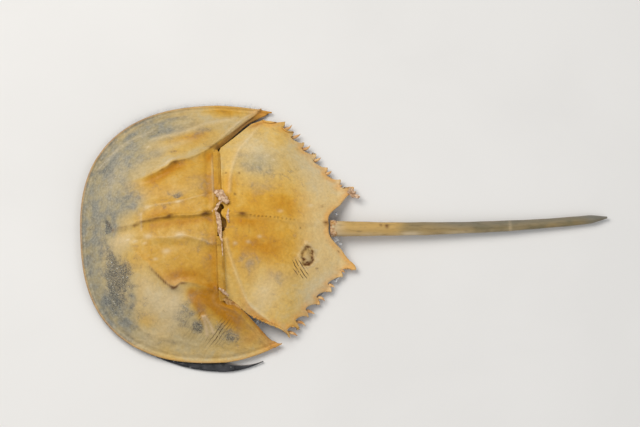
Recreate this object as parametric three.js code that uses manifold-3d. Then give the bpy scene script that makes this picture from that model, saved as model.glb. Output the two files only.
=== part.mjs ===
// The cast shell of a horseshoe crab, lying on its flat ventral rim.
// Millimetres, +Z up. The head points to -X, the tail spine to +X and the animal's right side to +Y.
// Each shield is built about the middle of the hinge between them, at ground level. The last lines
// move the whole shell so that its origin is the middle of the bottom of its bounding box.
import * as THREE from 'three';
import Module from 'manifold-3d';
import { mergeVertices } from 'three/addons/utils/BufferGeometryUtils.js';

const wasm = await Module();
wasm.setup();

// ---- driving dimensions ----
const WALL = 0.55;            // thickness of the cuticle
const GAP = 0.35;             // clear distance between neighbouring pieces
const SIDES = [['right', 1], ['left', -1]];

const CARAPACE_FRONT = 44.3;  // hinge to the front of the rim
const CARAPACE_HALF = 42.4;   // half of the greatest width
const SQUARENESS = 2.5;       // exponent of the superellipse that the front rim follows
const GENAL_X = 18.6;         // tips of the two rear corners, the genal spines
const GENAL_Y = 38.4;
const HINGE_HALF = 24.2;      // half of the hinge's length
const RIM_TOP = 1.95;         // height of the carapace's edge above the ground
const DOME = 20.3;            // rise of the dome above that edge
const SIDE_RISE = 2.12;       // how steeply the dome rises from its sides
const FRONT_RISE = 3.2;       // and from its front
const CARAPACE_YAW = 2.5;     // degrees
const CARAPACE_Y = -0.3;

const SUTURE_WIDTH = 10.5;    // breadth of the ventral rim, the doublure
const DOUBLURE_FLAT = 0.4;    // share of that breadth that lies flat on the ground
const DOUBLURE_THICK = 0.8;
const DOUBLURE_LIFT = 2.2;    // rise of its inner edge
const LOOSE_X = -5.1;         // how far the loose left end has sprung
const LOOSE_Y = -4.6;

const BODY_LENGTH = 35.6;     // hinge to the tail socket, along the rear shield
const BODY_RIDGE = 20.2;      // height of the rear shield at the hinge
const BODY_EDGE = 1.95;       // height of its toothed edge
const BODY_BREADTH = 38;      // half breadth at which the shield would reach that edge
const BODY_YAW = 1.5;
const BODY_Y = 0.25;
const NOTCH_HALF = 3.9;       // half width of the tail socket's notch
const TERMINAL = [43.5, 13.6];
const TOOTH_COUNT = 6;
const FIRST_ROOT = [20.9, 33.5];   // notch behind the first tooth
const LAST_ROOT = [38.2, 13.9];    // and behind the last one
const TOOTH_CROWDING = 1.15;       // the front teeth stand closer together
const TOOTH_TIP = [1.0, 2.2];      // from the notch behind a tooth to its tip
const TOOTH_VALLEY = [1.8, -1.5];  // from that notch to the hollow before the next tooth
const SPINE_LENGTHS = [3.6, 3.5, 3.2, 2.9, 2.4, 1.7];

const TAIL_LENGTH = 88.2;
const TAIL_WIDTH = 4.9;
const TAIL_BEND = 4.1;        // sideways bend of the tip
const TAIL_DROP = 3.4;        // fall from the socket to the tip
const TAIL_Z = 4.6;

const BELLY_Z = 8.4;          // height of the soft plate that the legs hang from
const LEG_PAIRS = ['pedipalp', 'walking_leg_1', 'walking_leg_2', 'walking_leg_3', 'pusher_leg'];

const { clamp, smoothstep, degToRad } = THREE.MathUtils;

// ---- building blocks ----

function solid(triangles) {
  const geometry = new THREE.BufferGeometry();
  const positions = new Float32Array(triangles.flatMap((corner) => corner.toArray()));
  geometry.setAttribute('position', new THREE.BufferAttribute(positions, 3));
  return geometry;
}

// A thin sheet over the plan (u, v) -> [x, y], at height(x, y), closed by an inner side and an edge.
// u runs from the left side (-1) to the right (+1), v from front (0) to rear (1).
function sheet({ plan, height, columns, rows, reach = 1, thickness = WALL, plumb = false }) {
  const step = 0.05;
  const outer = [];
  const inner = [];
  for (let i = 0; i <= columns; i++) {
    const u = reach * (2 * i / columns - 1);
    outer.push([]);
    inner.push([]);
    for (let j = 0; j <= rows; j++) {
      const [x, y] = plan(u, j / rows);
      const slopeX = (height(x + step, y) - height(x - step, y)) / (2 * step);
      const slopeY = (height(x, y + step) - height(x, y - step)) / (2 * step);
      const inward = plumb ? new THREE.Vector3(0, 0, -1) : new THREE.Vector3(slopeX, slopeY, -1);
      const point = new THREE.Vector3(x, y, height(x, y));
      outer[i].push(point);
      inner[i].push(point.clone().addScaledVector(inward.normalize(), thickness));
    }
  }
  return solid(sheetTriangles(outer, inner, columns, rows));
}

function sheetTriangles(outer, inner, columns, rows) {
  const triangles = [];
  for (let i = 0; i < columns; i++) {
    for (let j = 0; j < rows; j++) {
      const [a, b, c, d] = [outer[i][j], outer[i + 1][j], outer[i + 1][j + 1], outer[i][j + 1]];
      triangles.push(a, d, c, a, c, b);
      const [e, f, g, h] = [inner[i][j], inner[i + 1][j], inner[i + 1][j + 1], inner[i][j + 1]];
      triangles.push(e, g, h, e, f, g);
    }
  }
  const border = borderOf(columns, rows);
  border.forEach(([i, j], k) => {
    const [m, n] = border[(k + 1) % border.length];
    const [p, q, r, s] = [outer[i][j], outer[m][n], inner[m][n], inner[i][j]];
    triangles.push(q, p, s, q, s, r);
  });
  return triangles;
}

// The grid's border, once around, as [column, row] pairs.
function borderOf(columns, rows) {
  const border = [];
  for (let j = 0; j < rows; j++) border.push([0, j]);
  for (let i = 0; i < columns; i++) border.push([i, rows]);
  for (let j = rows; j > 0; j--) border.push([columns, j]);
  for (let i = columns; i > 0; i--) border.push([i, 0]);
  return border;
}

// A closed body through rings of equal count, each turning anticlockwise about the way ahead.
function loft(rings) {
  const triangles = [];
  const count = rings[0].length;
  for (let k = 0; k + 1 < rings.length; k++) {
    for (let i = 0; i < count; i++) {
      const next = (i + 1) % count;
      const [a, b] = [rings[k][i], rings[k][next]];
      const [c, d] = [rings[k + 1][next], rings[k + 1][i]];
      triangles.push(a, b, c, a, c, d);
    }
  }
  const last = rings.at(-1);
  for (let i = 1; i + 1 < count; i++) {
    triangles.push(rings[0][0], rings[0][i + 1], rings[0][i]);
    triangles.push(last[0], last[i], last[i + 1]);
  }
  return solid(triangles);
}

// A ring of points about a centre, square to the way ahead. The profile lists [across, up] pairs.
function ringAt(centre, ahead, profile) {
  const across = new THREE.Vector3(0, 0, 1).cross(ahead).normalize();
  const up = ahead.clone().cross(across).normalize();
  return profile.map(([a, b]) => centre.clone().addScaledVector(across, a).addScaledVector(up, b));
}

function roundProfile(radius, sides, flatness = 1) {
  const profile = [];
  for (let i = 0; i < sides; i++) {
    const angle = 2 * Math.PI * i / sides;
    profile.push([radius * Math.cos(angle), radius * flatness * Math.sin(angle)]);
  }
  return profile;
}

// A limb that tapers through points, with a radius at each.
function limb(points, radii, sides = 6, flatness = 0.8) {
  const path = points.map((point) => new THREE.Vector3(...point));
  const rings = path.map((point, k) => {
    const before = path[Math.max(k - 1, 0)];
    const after = path[Math.min(k + 1, path.length - 1)];
    const ahead = after.clone().sub(before).normalize();
    return ringAt(point, ahead, roundProfile(radii[k], sides, flatness));
  });
  return loft(rings);
}

function asManifold(geometry) {
  const merged = mergeVertices(geometry);
  return new wasm.Manifold(new wasm.Mesh({
    numProp: 3,
    vertProperties: merged.attributes.position.array,
    triVerts: merged.index.array,
  }));
}

function asGeometry(manifold) {
  const mesh = manifold.getMesh();
  const geometry = new THREE.BufferGeometry();
  geometry.setAttribute('position', new THREE.BufferAttribute(mesh.vertProperties, 3));
  geometry.setIndex(new THREE.BufferAttribute(mesh.triVerts, 1));
  return geometry;
}

function joined(first, second) {
  return asGeometry(asManifold(first).add(asManifold(second)));
}

function cuticle(name, geometry, color, roughness = 0.5) {
  const material = new THREE.MeshStandardMaterial({ color, roughness, metalness: 0 });
  const mesh = new THREE.Mesh(geometry, material);
  mesh.name = name;
  return mesh;
}

// ---- the front shield ----

function rimHalfWidth(x) {
  const behind = Math.max(x, 0) / GENAL_X;
  const ahead = clamp(-x / CARAPACE_FRONT, 0, 1);
  const front = CARAPACE_HALF * (1 - ahead ** SQUARENESS) ** (1 / SQUARENESS);
  return front - (CARAPACE_HALF - GENAL_Y) * behind ** 1.6;
}

// The rim from the left genal spine (u = -1), round the front (0), to the right one (+1).
function rimPoint(u) {
  const sideShare = 0.79;
  const along = Math.abs(u);
  if (along > sideShare) {
    const x = GENAL_X * (along - sideShare) / (1 - sideShare);
    return [x, Math.sign(u) * rimHalfWidth(x)];
  }
  const angle = Math.PI / 2 * along / sideShare;
  const power = 2 / SQUARENESS;
  const x = -CARAPACE_FRONT * Math.cos(angle) ** power;
  return [x, Math.sign(u) * CARAPACE_HALF * Math.sin(angle) ** power];
}

// The inner edge of each genal spine, from the end of the hinge to the tip. The left one is straighter.
const GENAL_BENDS = {
  right: [[4.8, 29.2], [10.3, 34.6], [14.6, 37.1]],
  left: [[5.8, 27.0], [10.4, 31.4], [14.7, 36.4]],
};

function genalMargin(side) {
  const points = [[-GAP, HINGE_HALF], ...GENAL_BENDS[side], [GENAL_X, GENAL_Y]];
  return new THREE.SplineCurve(points.map(([x, y]) => new THREE.Vector2(x, y)));
}

const genalMargins = { right: genalMargin('right'), left: genalMargin('left') };

// The rear margin: the hinge in the middle, then the inner edge of each genal spine.
function rearPoint(u) {
  const hingeShare = 0.5;
  const along = Math.abs(u);
  if (along < hingeShare) {
    return [-GAP - 0.3, u / hingeShare * HINGE_HALF];
  }
  const margin = genalMargins[u < 0 ? 'left' : 'right'];
  const point = margin.getPoint((along - hingeShare) / (1 - hingeShare));
  return [point.x, Math.sign(u) * point.y];
}

function carapacePlan(u, v) {
  const [rimX, rimY] = rimPoint(u);
  const [rearX, rearY] = rearPoint(u);
  const share = v ** 1.15;
  return [rimX + (rearX - rimX) * share, rimY + (rearY - rimY) * share];
}

function distanceToLine(x, y, line) {
  const point = new THREE.Vector3(x, y, 0);
  const nearest = new THREE.Vector3();
  let least = Infinity;
  for (let k = 0; k + 1 < line.length; k++) {
    const from = new THREE.Vector3(...line[k], 0);
    const to = new THREE.Vector3(...line[k + 1], 0);
    new THREE.Line3(from, to).closestPointToPoint(point, true, nearest);
    least = Math.min(least, nearest.distanceTo(point));
  }
  return least;
}

const EYE_RIDGE = [[-25, 13.8], [-13.8, 21.2], [-0.6, 24.4]];
const MEDIAN_RIDGE = [[-34, 0], [-0.6, 0]];

function carapaceHeight(x, y) {
  const ahead = Math.max(-x, 0) / CARAPACE_FRONT;
  const aside = Math.abs(y) / rimHalfWidth(Math.max(x, 0));
  const reach = (ahead ** SQUARENESS + aside ** SQUARENESS) ** (1 / SQUARENESS);
  const inward = Math.max(1 - reach, 0);
  const rise = SIDE_RISE + (FRONT_RISE - SIDE_RISE) * ahead ** 0.8;
  const vault = 1 - Math.exp(-((rise * inward) ** 1.5));
  const eyeRidge = 1.1 * Math.exp(-((distanceToLine(x, Math.abs(y), EYE_RIDGE) / 1.8) ** 2));
  const medianRidge = 0.9 * Math.exp(-((distanceToLine(x, y, MEDIAN_RIDGE) / 1.6) ** 2));
  return RIM_TOP + DOME * vault + eyeRidge + medianRidge;
}

function carapace() {
  const geometry = sheet({
    plan: carapacePlan, height: carapaceHeight, columns: 60, rows: 13, reach: 0.975,
  });
  return cuticle('carapace', geometry, 0xc99a4e);
}

// The doublure: the flat band under the rim, parted from it along the moulting suture. It widens to
// a point behind the front of the head, and its left end has sprung out past the rim.
const doublureTaper = (u) => 1 - 0.93 * smoothstep(Math.abs(u), 0.62, 1);
const looseness = (u) => smoothstep(-u, 0.5, 1);

function doublurePlan(u, v) {
  const [rimX, rimY] = rimPoint(u);
  const inset = 0.5;
  const towardAxis = new THREE.Vector2(-6 - rimX, -rimY * 0.55).normalize();
  const point = Math.max(0, 1 - Math.abs(u) / 0.16);
  const breadth = SUTURE_WIDTH * doublureTaper(u) + 6.5 * point;
  const reach = inset * (1 - v) + breadth * v;
  const loose = looseness(u);
  return [
    rimX + towardAxis.x * reach + LOOSE_X * loose ** 1.5,
    rimY + towardAxis.y * reach + LOOSE_Y * loose,
  ];
}

function doublure() {
  const columns = 52;
  const bands = [0, DOUBLURE_FLAT, 1];
  const outer = [];
  const inner = [];
  for (let i = 0; i <= columns; i++) {
    const u = 0.985 * (2 * i / columns - 1);
    const top = bands.map((v) => {
      const [x, y] = doublurePlan(u, v);
      const lift = v === 1 ? DOUBLURE_LIFT * doublureTaper(u) * (1 - looseness(u)) : 0;
      return new THREE.Vector3(x, y, DOUBLURE_THICK + lift);
    });
    outer.push(top);
    inner.push(top.map((point) => point.clone().setZ(point.z - DOUBLURE_THICK)));
  }
  const geometry = solid(sheetTriangles(outer, inner, columns, bands.length - 1));
  return cuticle('ventral_rim', geometry, 0x6d747c, 0.4);
}

// ---- the rear shield ----

function bodyBreadth(x) {
  const flank = Math.max(63.7 - 1.28 * x, 14.8);
  const soft = 1.5;
  return -soft * Math.log(Math.exp(-BODY_BREADTH / soft) + Math.exp(-flank / soft));
}

function bodyHeight(x, y) {
  const crest = BODY_RIDGE - 0.23 * x - 0.0044 * x * x;
  const aside = clamp(Math.abs(y) / bodyBreadth(x), 0, 1);
  const vault = 1 - aside ** 1.9;
  const medianRidge = 0.7 * Math.exp(-((y / 1.6) ** 2)) * smoothstep(x, 1, 4);
  return BODY_EDGE + Math.max(crest - BODY_EDGE, 0.4) * vault + medianRidge;
}

function toothRoot(k) {
  const share = (k / (TOOTH_COUNT - 1)) ** TOOTH_CROWDING;
  return [0, 1].map((i) => FIRST_ROOT[i] + (LAST_ROOT[i] - FIRST_ROOT[i]) * share);
}

// Half of the outline, as [x, distance from the axis]: shoulder, teeth, terminal spine, tail notch.
function flankOutline(shoulder) {
  const outline = [...shoulder];
  for (let k = 0; k < TOOTH_COUNT; k++) {
    const [x, y] = toothRoot(k);
    outline.push([x + TOOTH_TIP[0], y + TOOTH_TIP[1]]);
    outline.push([x, y]);
    const isLast = k === TOOTH_COUNT - 1;
    if (!isLast) outline.push([x + TOOTH_VALLEY[0], y + TOOTH_VALLEY[1]]);
  }
  outline.push([TERMINAL[0] - 2.2, TERMINAL[1] - 0.1], TERMINAL, [TERMINAL[0] - 1.9, TERMINAL[1] - 2.7]);
  outline.push([TERMINAL[0] - 4.6, TERMINAL[1] - 6.3], [BODY_LENGTH, NOTCH_HALF], [BODY_LENGTH - 0.4, 0]);
  return outline;
}

// The right shoulder stands out square; the left one is folded under and cut away at a slant.
const SHOULDERS = {
  right: [[14.7, 36.0], [17.6, 34.9]],
  left: [[16.5, 31.8], [19.2, 33.0]],
};
// The front edge of each flank, from the end of the hinge to the shoulder.
const HINGE_END = [1.25, 23.4];
const FLANK_FRONTS = {
  right: [HINGE_END, [1.9, 24.7], [11.7, 34.5]],
  left: [HINGE_END, [3.7, 24.3], [9.2, 28.5]],
};

function alongOutline(outline, share) {
  const place = clamp(share, 0, 1) * (outline.length - 1);
  const k = Math.min(Math.floor(place), outline.length - 2);
  const part = place - k;
  const [from, to] = [outline[k], outline[k + 1]];
  return [from[0] + (to[0] - from[0]) * part, from[1] + (to[1] - from[1]) * part];
}

function bodyPlan(u, v) {
  const side = u < 0 ? 'left' : 'right';
  const along = Math.abs(u);
  const outline = flankOutline(SHOULDERS[side]);
  const hingeShare = 0.5;
  const frontX = GAP + 0.3;
  const front = along < hingeShare
    ? alongOutline([[frontX, 0], HINGE_END], along / hingeShare)
    : alongOutline([...FLANK_FRONTS[side], outline[0]], (along - hingeShare) / (1 - hingeShare));
  const rear = alongOutline(outline, 1 - along);
  const y = front[1] + (rear[1] - front[1]) * v;
  return [front[0] + (rear[0] - front[0]) * v, Math.sign(u) * y];
}

function opisthosoma() {
  const corners = flankOutline(SHOULDERS.right).length - 1;
  const geometry = sheet({
    plan: bodyPlan, height: bodyHeight, columns: 2 * corners, rows: 15, reach: 0.996,
  });
  return cuticle('opisthosoma', geometry, 0xd1a766);
}

// A movable spine in the notch behind each tooth, pointing out and back.
function marginalSpine(side, sign, k) {
  const [x, y] = toothRoot(k);
  const root = new THREE.Vector3(x, y, BODY_EDGE - 0.25);
  const heading = new THREE.Vector3(0.91, 0.41, -0.03).normalize();
  const start = root.clone().addScaledVector(heading, 1.0);
  const end = root.clone().addScaledVector(heading, SPINE_LENGTHS[k]);
  const middle = start.clone().lerp(end, 0.4);
  const points = [start, middle, end].map((point) => [point.x, sign * point.y, point.z]);
  return cuticle(`movable_spine_${side}_${k + 1}`, limb(points, [0.36, 0.42, 0.1], 5), 0xc98a45);
}

// ---- hinge and tail ----

// The soft membrane that bridges the two shields along the hinge.
function hingeMembrane() {
  const half = HINGE_HALF - 2;
  const geometry = sheet({
    plan: (u, v) => [0.3 * (2 * v - 1), half * u],
    height: (x, y) => carapaceHeight(-0.4, y) - 0.9,
    columns: 28,
    rows: 1,
    thickness: 0.4,
    plumb: true,
  });
  return cuticle('hinge_membrane', geometry, 0xd9c0a6, 0.7);
}

// Keeled on top and hollowed a little below, as [across, up] shares of the width.
const TAIL_PROFILE = [[0.5, -0.05], [0.12, 0.42], [-0.12, 0.42], [-0.5, -0.05], [-0.3, -0.36], [0.3, -0.36]];

function tailCentre(s) {
  return new THREE.Vector3(TAIL_LENGTH * s, TAIL_BEND * s ** 2.2, -TAIL_DROP * s ** 0.8);
}

function tailWidth(s) {
  const taper = TAIL_WIDTH * (1 - 0.48 * s);
  return taper * (1 - smoothstep(s, 0.93, 1.02) * 0.85);
}

function telson() {
  const stations = 26;
  const rings = [];
  for (let k = 0; k <= stations; k++) {
    const s = k / stations;
    const ahead = tailCentre(s + 0.01).sub(tailCentre(Math.max(s - 0.01, 0)));
    const width = tailWidth(s);
    rings.push(ringAt(tailCentre(s), ahead, TAIL_PROFILE.map(([a, b]) => [a * width, b * width])));
  }
  return cuticle('telson', loft(rings), 0xa9966c);
}

// A short sleeve of membrane round the root of the tail spine.
function telsonMembrane() {
  const clear = TAIL_WIDTH / 2 + GAP + 0.15;
  const outline = [[clear, 0], [clear + 0.5, 0], [clear + 0.35, 1.6], [clear - 0.05, 1.6], [clear, 0]];
  const sleeve = new THREE.LatheGeometry(outline.map(([r, h]) => new THREE.Vector2(r, h)), 14);
  sleeve.rotateZ(-Math.PI / 2);
  sleeve.scale(1, 1, 0.86);
  sleeve.translate(BODY_LENGTH + GAP + 0.2, 0, TAIL_Z);
  return cuticle('telson_membrane', sleeve, 0xd6cbbd, 0.7);
}

// ---- underside ----

function ventralMembrane() {
  const outline = new THREE.Shape();
  outline.absellipse(-11.5, 0, 13.5, 9.5, 0, 2 * Math.PI);
  const geometry = new THREE.ExtrudeGeometry(outline, { depth: 0.6, bevelEnabled: false, curveSegments: 18 });
  geometry.translate(0, 0, BELLY_Z);
  return cuticle('ventral_membrane', geometry, 0xc9b79b, 0.7);
}

// A leg runs out from beside the mouth, bends at the knee and ends in two fingers.
function leg(name, sign, place) {
  const turn = degToRad(34 - 17 * place);
  const rootX = -20.5 + 4.6 * place;
  const length = 0.84 + 0.16 * smoothstep(place, 0, 2);
  const at = (out, z) => [
    rootX - Math.sin(turn) * out * length,
    sign * (3.2 + Math.cos(turn) * out * length),
    z,
  ];
  const stout = 1 + 0.06 * place;
  const body = limb(
    [at(0, BELLY_Z - 2.1), at(6, BELLY_Z - 2.3), at(12, 6.6), at(17, 6.2), at(21.5, 5.6), at(25.5, 4.9)],
    [1.5, 1.55, 1.3, 1.15, 1.25, 0.18].map((radius) => radius * stout),
  );
  const sweep = 0.9;
  const [fingerX, fingerY, fingerZ] = at(20.8, 5.7);
  const [tipX, tipY, tipZ] = at(25.0, 5.0);
  const finger = limb(
    [[fingerX + sweep, fingerY, fingerZ], [tipX + sweep + 0.6, tipY, tipZ]],
    [0.55, 0.12],
  );
  return cuticle(name, joined(body, finger), 0xc48f4e);
}

function chelicera(side, sign) {
  const geometry = limb(
    [[-25.0, sign * 1.3, 6.4], [-22.5, sign * 1.8, 6.1], [-19.6, sign * 1.2, 5.4]],
    [0.9, 0.8, 0.2],
  );
  return cuticle(`chelicera_${side}`, geometry, 0xc48f4e);
}

function chilarium(side, sign) {
  const geometry = limb(
    [[1.4, sign * 1.7, 7.4], [3.2, sign * 2.1, 6.2], [4.9, sign * 2.0, 5.0]],
    [0.9, 1.0, 0.3],
  );
  return cuticle(`chilarium_${side}`, geometry, 0xc9a068);
}

// A gill cover: a broad thin flap with a rounded rear edge and a notch at its middle, leaning back.
function gillFlap(name, place) {
  const half = 15.5 - 1.2 * place;
  const long = 8.2 - 0.35 * place;
  const outline = new THREE.Shape();
  outline.moveTo(0, half * 0.82);
  outline.lineTo(0, -half * 0.82);
  outline.bezierCurveTo(long * 0.4, -half * 1.1, long * 1.1, -half * 0.7, long, -1.0);
  outline.lineTo(long * 0.78, 0);
  outline.lineTo(long, 1.0);
  outline.bezierCurveTo(long * 1.1, half * 0.7, long * 0.4, half * 1.1, 0, half * 0.82);
  const geometry = new THREE.ExtrudeGeometry(outline, { depth: 0.5, bevelEnabled: false, curveSegments: 6 });
  geometry.rotateY(degToRad(23));
  geometry.translate(6.2 + 4.0 * place, 0, 7.2 - 0.55 * place);
  return cuticle(name, geometry, 0xb99a6d, 0.6);
}

// ---- assembly ----

const cephalothorax = new THREE.Group();
cephalothorax.position.y = CARAPACE_Y;
cephalothorax.rotation.z = degToRad(CARAPACE_YAW);
cephalothorax.add(carapace(), doublure(), hingeMembrane(), ventralMembrane());
for (const [side, sign] of SIDES) {
  cephalothorax.add(chelicera(side, sign));
  LEG_PAIRS.forEach((name, place) => cephalothorax.add(leg(`${name}_${side}`, sign, place)));
}

const tail = new THREE.Group();
tail.position.set(BODY_LENGTH + GAP, 0, TAIL_Z);
tail.rotation.z = degToRad(-1.6);
tail.add(telson());

const hindBody = new THREE.Group();
hindBody.position.y = BODY_Y;
hindBody.rotation.z = degToRad(BODY_YAW);
hindBody.add(opisthosoma(), telsonMembrane(), tail, gillFlap('genital_operculum', 0));
for (let place = 1; place <= 5; place++) hindBody.add(gillFlap(`gill_flap_${place}`, place));
for (const [side, sign] of SIDES) {
  hindBody.add(chilarium(side, sign));
  for (let k = 0; k < TOOTH_COUNT; k++) hindBody.add(marginalSpine(side, sign, k));
}

const shell = new THREE.Group();
shell.add(cephalothorax, hindBody);
const box = new THREE.Box3().setFromObject(shell, true);
const centre = box.getCenter(new THREE.Vector3());
shell.position.set(-centre.x, -centre.y, -box.min.z);

export default shell;
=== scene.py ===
"""The cast shell of a horseshoe crab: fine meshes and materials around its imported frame.

Lengths are in millimetres until a mesh is made. Each shield is drawn in a frame of its own, whose
origin is the middle of the hinge at ground level, with the head to -X and the right side to +Y.
"""

import math

import bpy
import numpy as np
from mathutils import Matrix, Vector


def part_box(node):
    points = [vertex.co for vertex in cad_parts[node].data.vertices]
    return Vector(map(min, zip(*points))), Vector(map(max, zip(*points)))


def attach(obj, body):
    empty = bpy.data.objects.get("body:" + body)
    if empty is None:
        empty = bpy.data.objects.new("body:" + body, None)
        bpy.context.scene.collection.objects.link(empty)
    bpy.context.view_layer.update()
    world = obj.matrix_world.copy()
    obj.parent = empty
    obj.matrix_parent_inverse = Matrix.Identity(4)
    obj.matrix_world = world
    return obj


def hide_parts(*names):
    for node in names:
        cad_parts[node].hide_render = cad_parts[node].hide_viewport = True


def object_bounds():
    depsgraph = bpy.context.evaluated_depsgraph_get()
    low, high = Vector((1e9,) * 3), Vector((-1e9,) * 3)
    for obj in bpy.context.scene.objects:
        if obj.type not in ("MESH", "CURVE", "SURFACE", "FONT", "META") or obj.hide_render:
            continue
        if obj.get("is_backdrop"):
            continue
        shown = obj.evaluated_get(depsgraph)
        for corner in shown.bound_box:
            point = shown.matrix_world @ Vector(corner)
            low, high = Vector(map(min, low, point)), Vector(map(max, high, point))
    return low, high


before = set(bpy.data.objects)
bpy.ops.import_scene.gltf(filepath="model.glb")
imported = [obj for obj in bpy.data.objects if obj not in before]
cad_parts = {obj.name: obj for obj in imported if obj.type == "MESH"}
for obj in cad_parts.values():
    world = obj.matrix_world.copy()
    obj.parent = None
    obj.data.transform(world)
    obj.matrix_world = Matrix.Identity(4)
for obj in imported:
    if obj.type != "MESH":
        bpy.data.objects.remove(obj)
CAD_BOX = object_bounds()
MM = 0.001

# ---- driving sizes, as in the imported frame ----
WALL = 0.55
GAP = 0.35
CARAPACE_FRONT, CARAPACE_HALF = 44.3, 42.4
SQUARENESS = 2.5
GENAL_X, GENAL_Y = 18.6, 38.4
HINGE_HALF = 24.2
RIM_TOP, DOME, SIDE_RISE, FRONT_RISE = 1.95, 20.3, 2.12, 3.2
FORE_YAW, FORE_Y = 2.5, -0.3
SUTURE_WIDTH, DOUBLURE_LIFT = 10.5, 2.2
LOOSE_X, LOOSE_Y = -5.1, -4.6
HIND_YAW, HIND_Y = 1.5, 0.25
BODY_LENGTH, BODY_RIDGE, BODY_EDGE, BODY_BREADTH = 35.6, 20.2, 1.95, 38.0
NOTCH_HALF = 3.9
TERMINAL = [43.5, 13.6]
TOOTH_COUNT, TOOTH_CROWDING = 6, 1.15
FIRST_ROOT, LAST_ROOT = np.array([20.9, 33.5]), np.array([38.2, 13.9])
TOOTH_TIP, TOOTH_VALLEY = np.array([1.0, 2.2]), np.array([1.8, -1.5])
SPINE_LENGTHS = [3.6, 3.5, 3.2, 2.9, 2.4, 1.7]
TAIL_LENGTH, TAIL_WIDTH, TAIL_BEND, TAIL_DROP, TAIL_Z = 88.2, 4.9, 4.1, 3.4, 4.6
TAIL_YAW, TAIL_TAPER = -1.6, 0.48
BELLY_Z = 8.4
SIDES = [("right", 1), ("left", -1)]

# ---- drying, in the visual model only ----
TAIL_SAG = 0.55
CORNER_SPLAY = 1.25


# ---- lines, noise and distances ----

def ease(value, low, high):
    """0 at low, 1 at high and smooth between. High may be the smaller of the two."""
    share = np.clip((value - low) / (high - low), 0, 1)
    return share * share * (3 - 2 * share)


def bell(distance, width):
    return np.exp(-((distance / width) ** 2))


def blob(x, y, centre, radii, turn=0):
    """A soft spot: 1 at its centre and fading out past its two radii."""
    angle = math.radians(turn)
    dx, dy = x - centre[0], y - centre[1]
    along = dx * math.cos(angle) + dy * math.sin(angle)
    aside = dy * math.cos(angle) - dx * math.sin(angle)
    return np.exp(-((along / radii[0]) ** 2 + (aside / radii[1]) ** 2))


def spots(x, y, rows):
    """The sum of soft spots, each given as its strength, centre x and y, two radii and perhaps a turn."""
    return sum(strength * blob(x, y, (cx, cy), (rx, ry), *turn) for strength, cx, cy, rx, ry, *turn in rows)


def lattice(x, y, cell, seed):
    """Smooth noise from -1 to 1 that changes over about one cell."""
    size = 64
    values = np.random.default_rng(seed).uniform(-1, 1, (size, size))
    column, row = np.floor(x / cell).astype(int), np.floor(y / cell).astype(int)
    u, v = x / cell - column, y / cell - row
    u, v = u * u * (3 - 2 * u), v * v * (3 - 2 * v)
    corner = lambda i, j: values[(column + i) % size, (row + j) % size]
    near = corner(0, 0) * (1 - u) + corner(1, 0) * u
    far = corner(0, 1) * (1 - u) + corner(1, 1) * u
    return near * (1 - v) + far * v


def rough(x, y, cell, seed, octaves=3):
    return sum(lattice(x, y, cell / 2 ** k, seed + k) / 2 ** k for k in range(octaves))


def smooth_line(points, steps=8):
    """A Catmull-Rom line through points of any dimension, with equal steps between each two."""
    points = np.array(points, float)
    padded = np.vstack([2 * points[0] - points[1], points, 2 * points[-1] - points[-2]])
    line = []
    for k in range(len(points) - 1):
        a, b, c, d = padded[k:k + 4]
        for t in np.arange(steps) / steps:
            line.append(b + 0.5 * t * (c - a + t * (2 * a - 5 * b + 4 * c - d + t * (3 * b - a - 3 * c + d))))
    line.append(points[-1])
    return np.array(line)


def at_share(line, share):
    """The points at shares 0 to 1 of a line's point count."""
    place = np.clip(share, 0, 1) * (len(line) - 1)
    return np.stack([np.interp(place, np.arange(len(line)), axis) for axis in line.T], -1)


def beside(x, y, line):
    """Distance to a line, the same signed (positive to the left of its way), and the share along it."""
    least, signed, share = np.full(x.shape, np.inf), np.zeros(x.shape), np.zeros(x.shape)
    count = len(line) - 1
    for k in range(count):
        (ax, ay), (bx, by) = line[k], line[k + 1]
        sx, sy = bx - ax, by - ay
        part = np.clip(((x - ax) * sx + (y - ay) * sy) / (sx * sx + sy * sy), 0, 1)
        dx, dy = x - ax - part * sx, y - ay - part * sy
        distance = np.hypot(dx, dy)
        closer = distance < least
        least = np.where(closer, distance, least)
        signed = np.where(closer, np.copysign(distance, sx * dy - sy * dx), signed)
        share = np.where(closer, (k + part) / count, share)
    return least, signed, share


def unit(vectors):
    return vectors / np.maximum(np.linalg.norm(vectors, axis=-1, keepdims=True), 1e-9)


def level_and_rise(line):
    """Unit vectors square to a line's way: one level with the ground, the other above it."""
    ahead = np.gradient(line, axis=0)
    across = unit(np.cross([0, 0, 1.0], ahead))
    return across, unit(np.cross(ahead, across))


def around(count):
    return 2 * np.pi * np.arange(count) / count


def grid(columns, rows, u=(-1, 1), v=(0, 1)):
    """Two arrays that run evenly over u along the columns and over v along the rows."""
    return np.meshgrid(np.linspace(*u, columns + 1), np.linspace(*v, rows + 1), indexing="ij")


def crowded(v, crowding):
    """Shares from 0 to 1 that lie closer together at both ends."""
    return v - crowding * np.sin(2 * np.pi * v) / (2 * np.pi)


# ---- placing ----

def turned(points, yaw, y):
    """Points turned about the vertical axis by yaw degrees, then moved by y."""
    angle = math.radians(yaw)
    c, s = math.cos(angle), math.sin(angle)
    out = np.array(points, float)
    out[..., 0] = points[..., 0] * c - points[..., 1] * s
    out[..., 1] = points[..., 0] * s + points[..., 1] * c + y
    return out


def rim_half_width(x):
    ahead = np.clip(-x / CARAPACE_FRONT, 0, 1)
    front = CARAPACE_HALF * (1 - ahead ** SQUARENESS) ** (1 / SQUARENESS)
    return front - (CARAPACE_HALF - GENAL_Y) * (np.maximum(x, 0) / GENAL_X) ** 1.6


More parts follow.
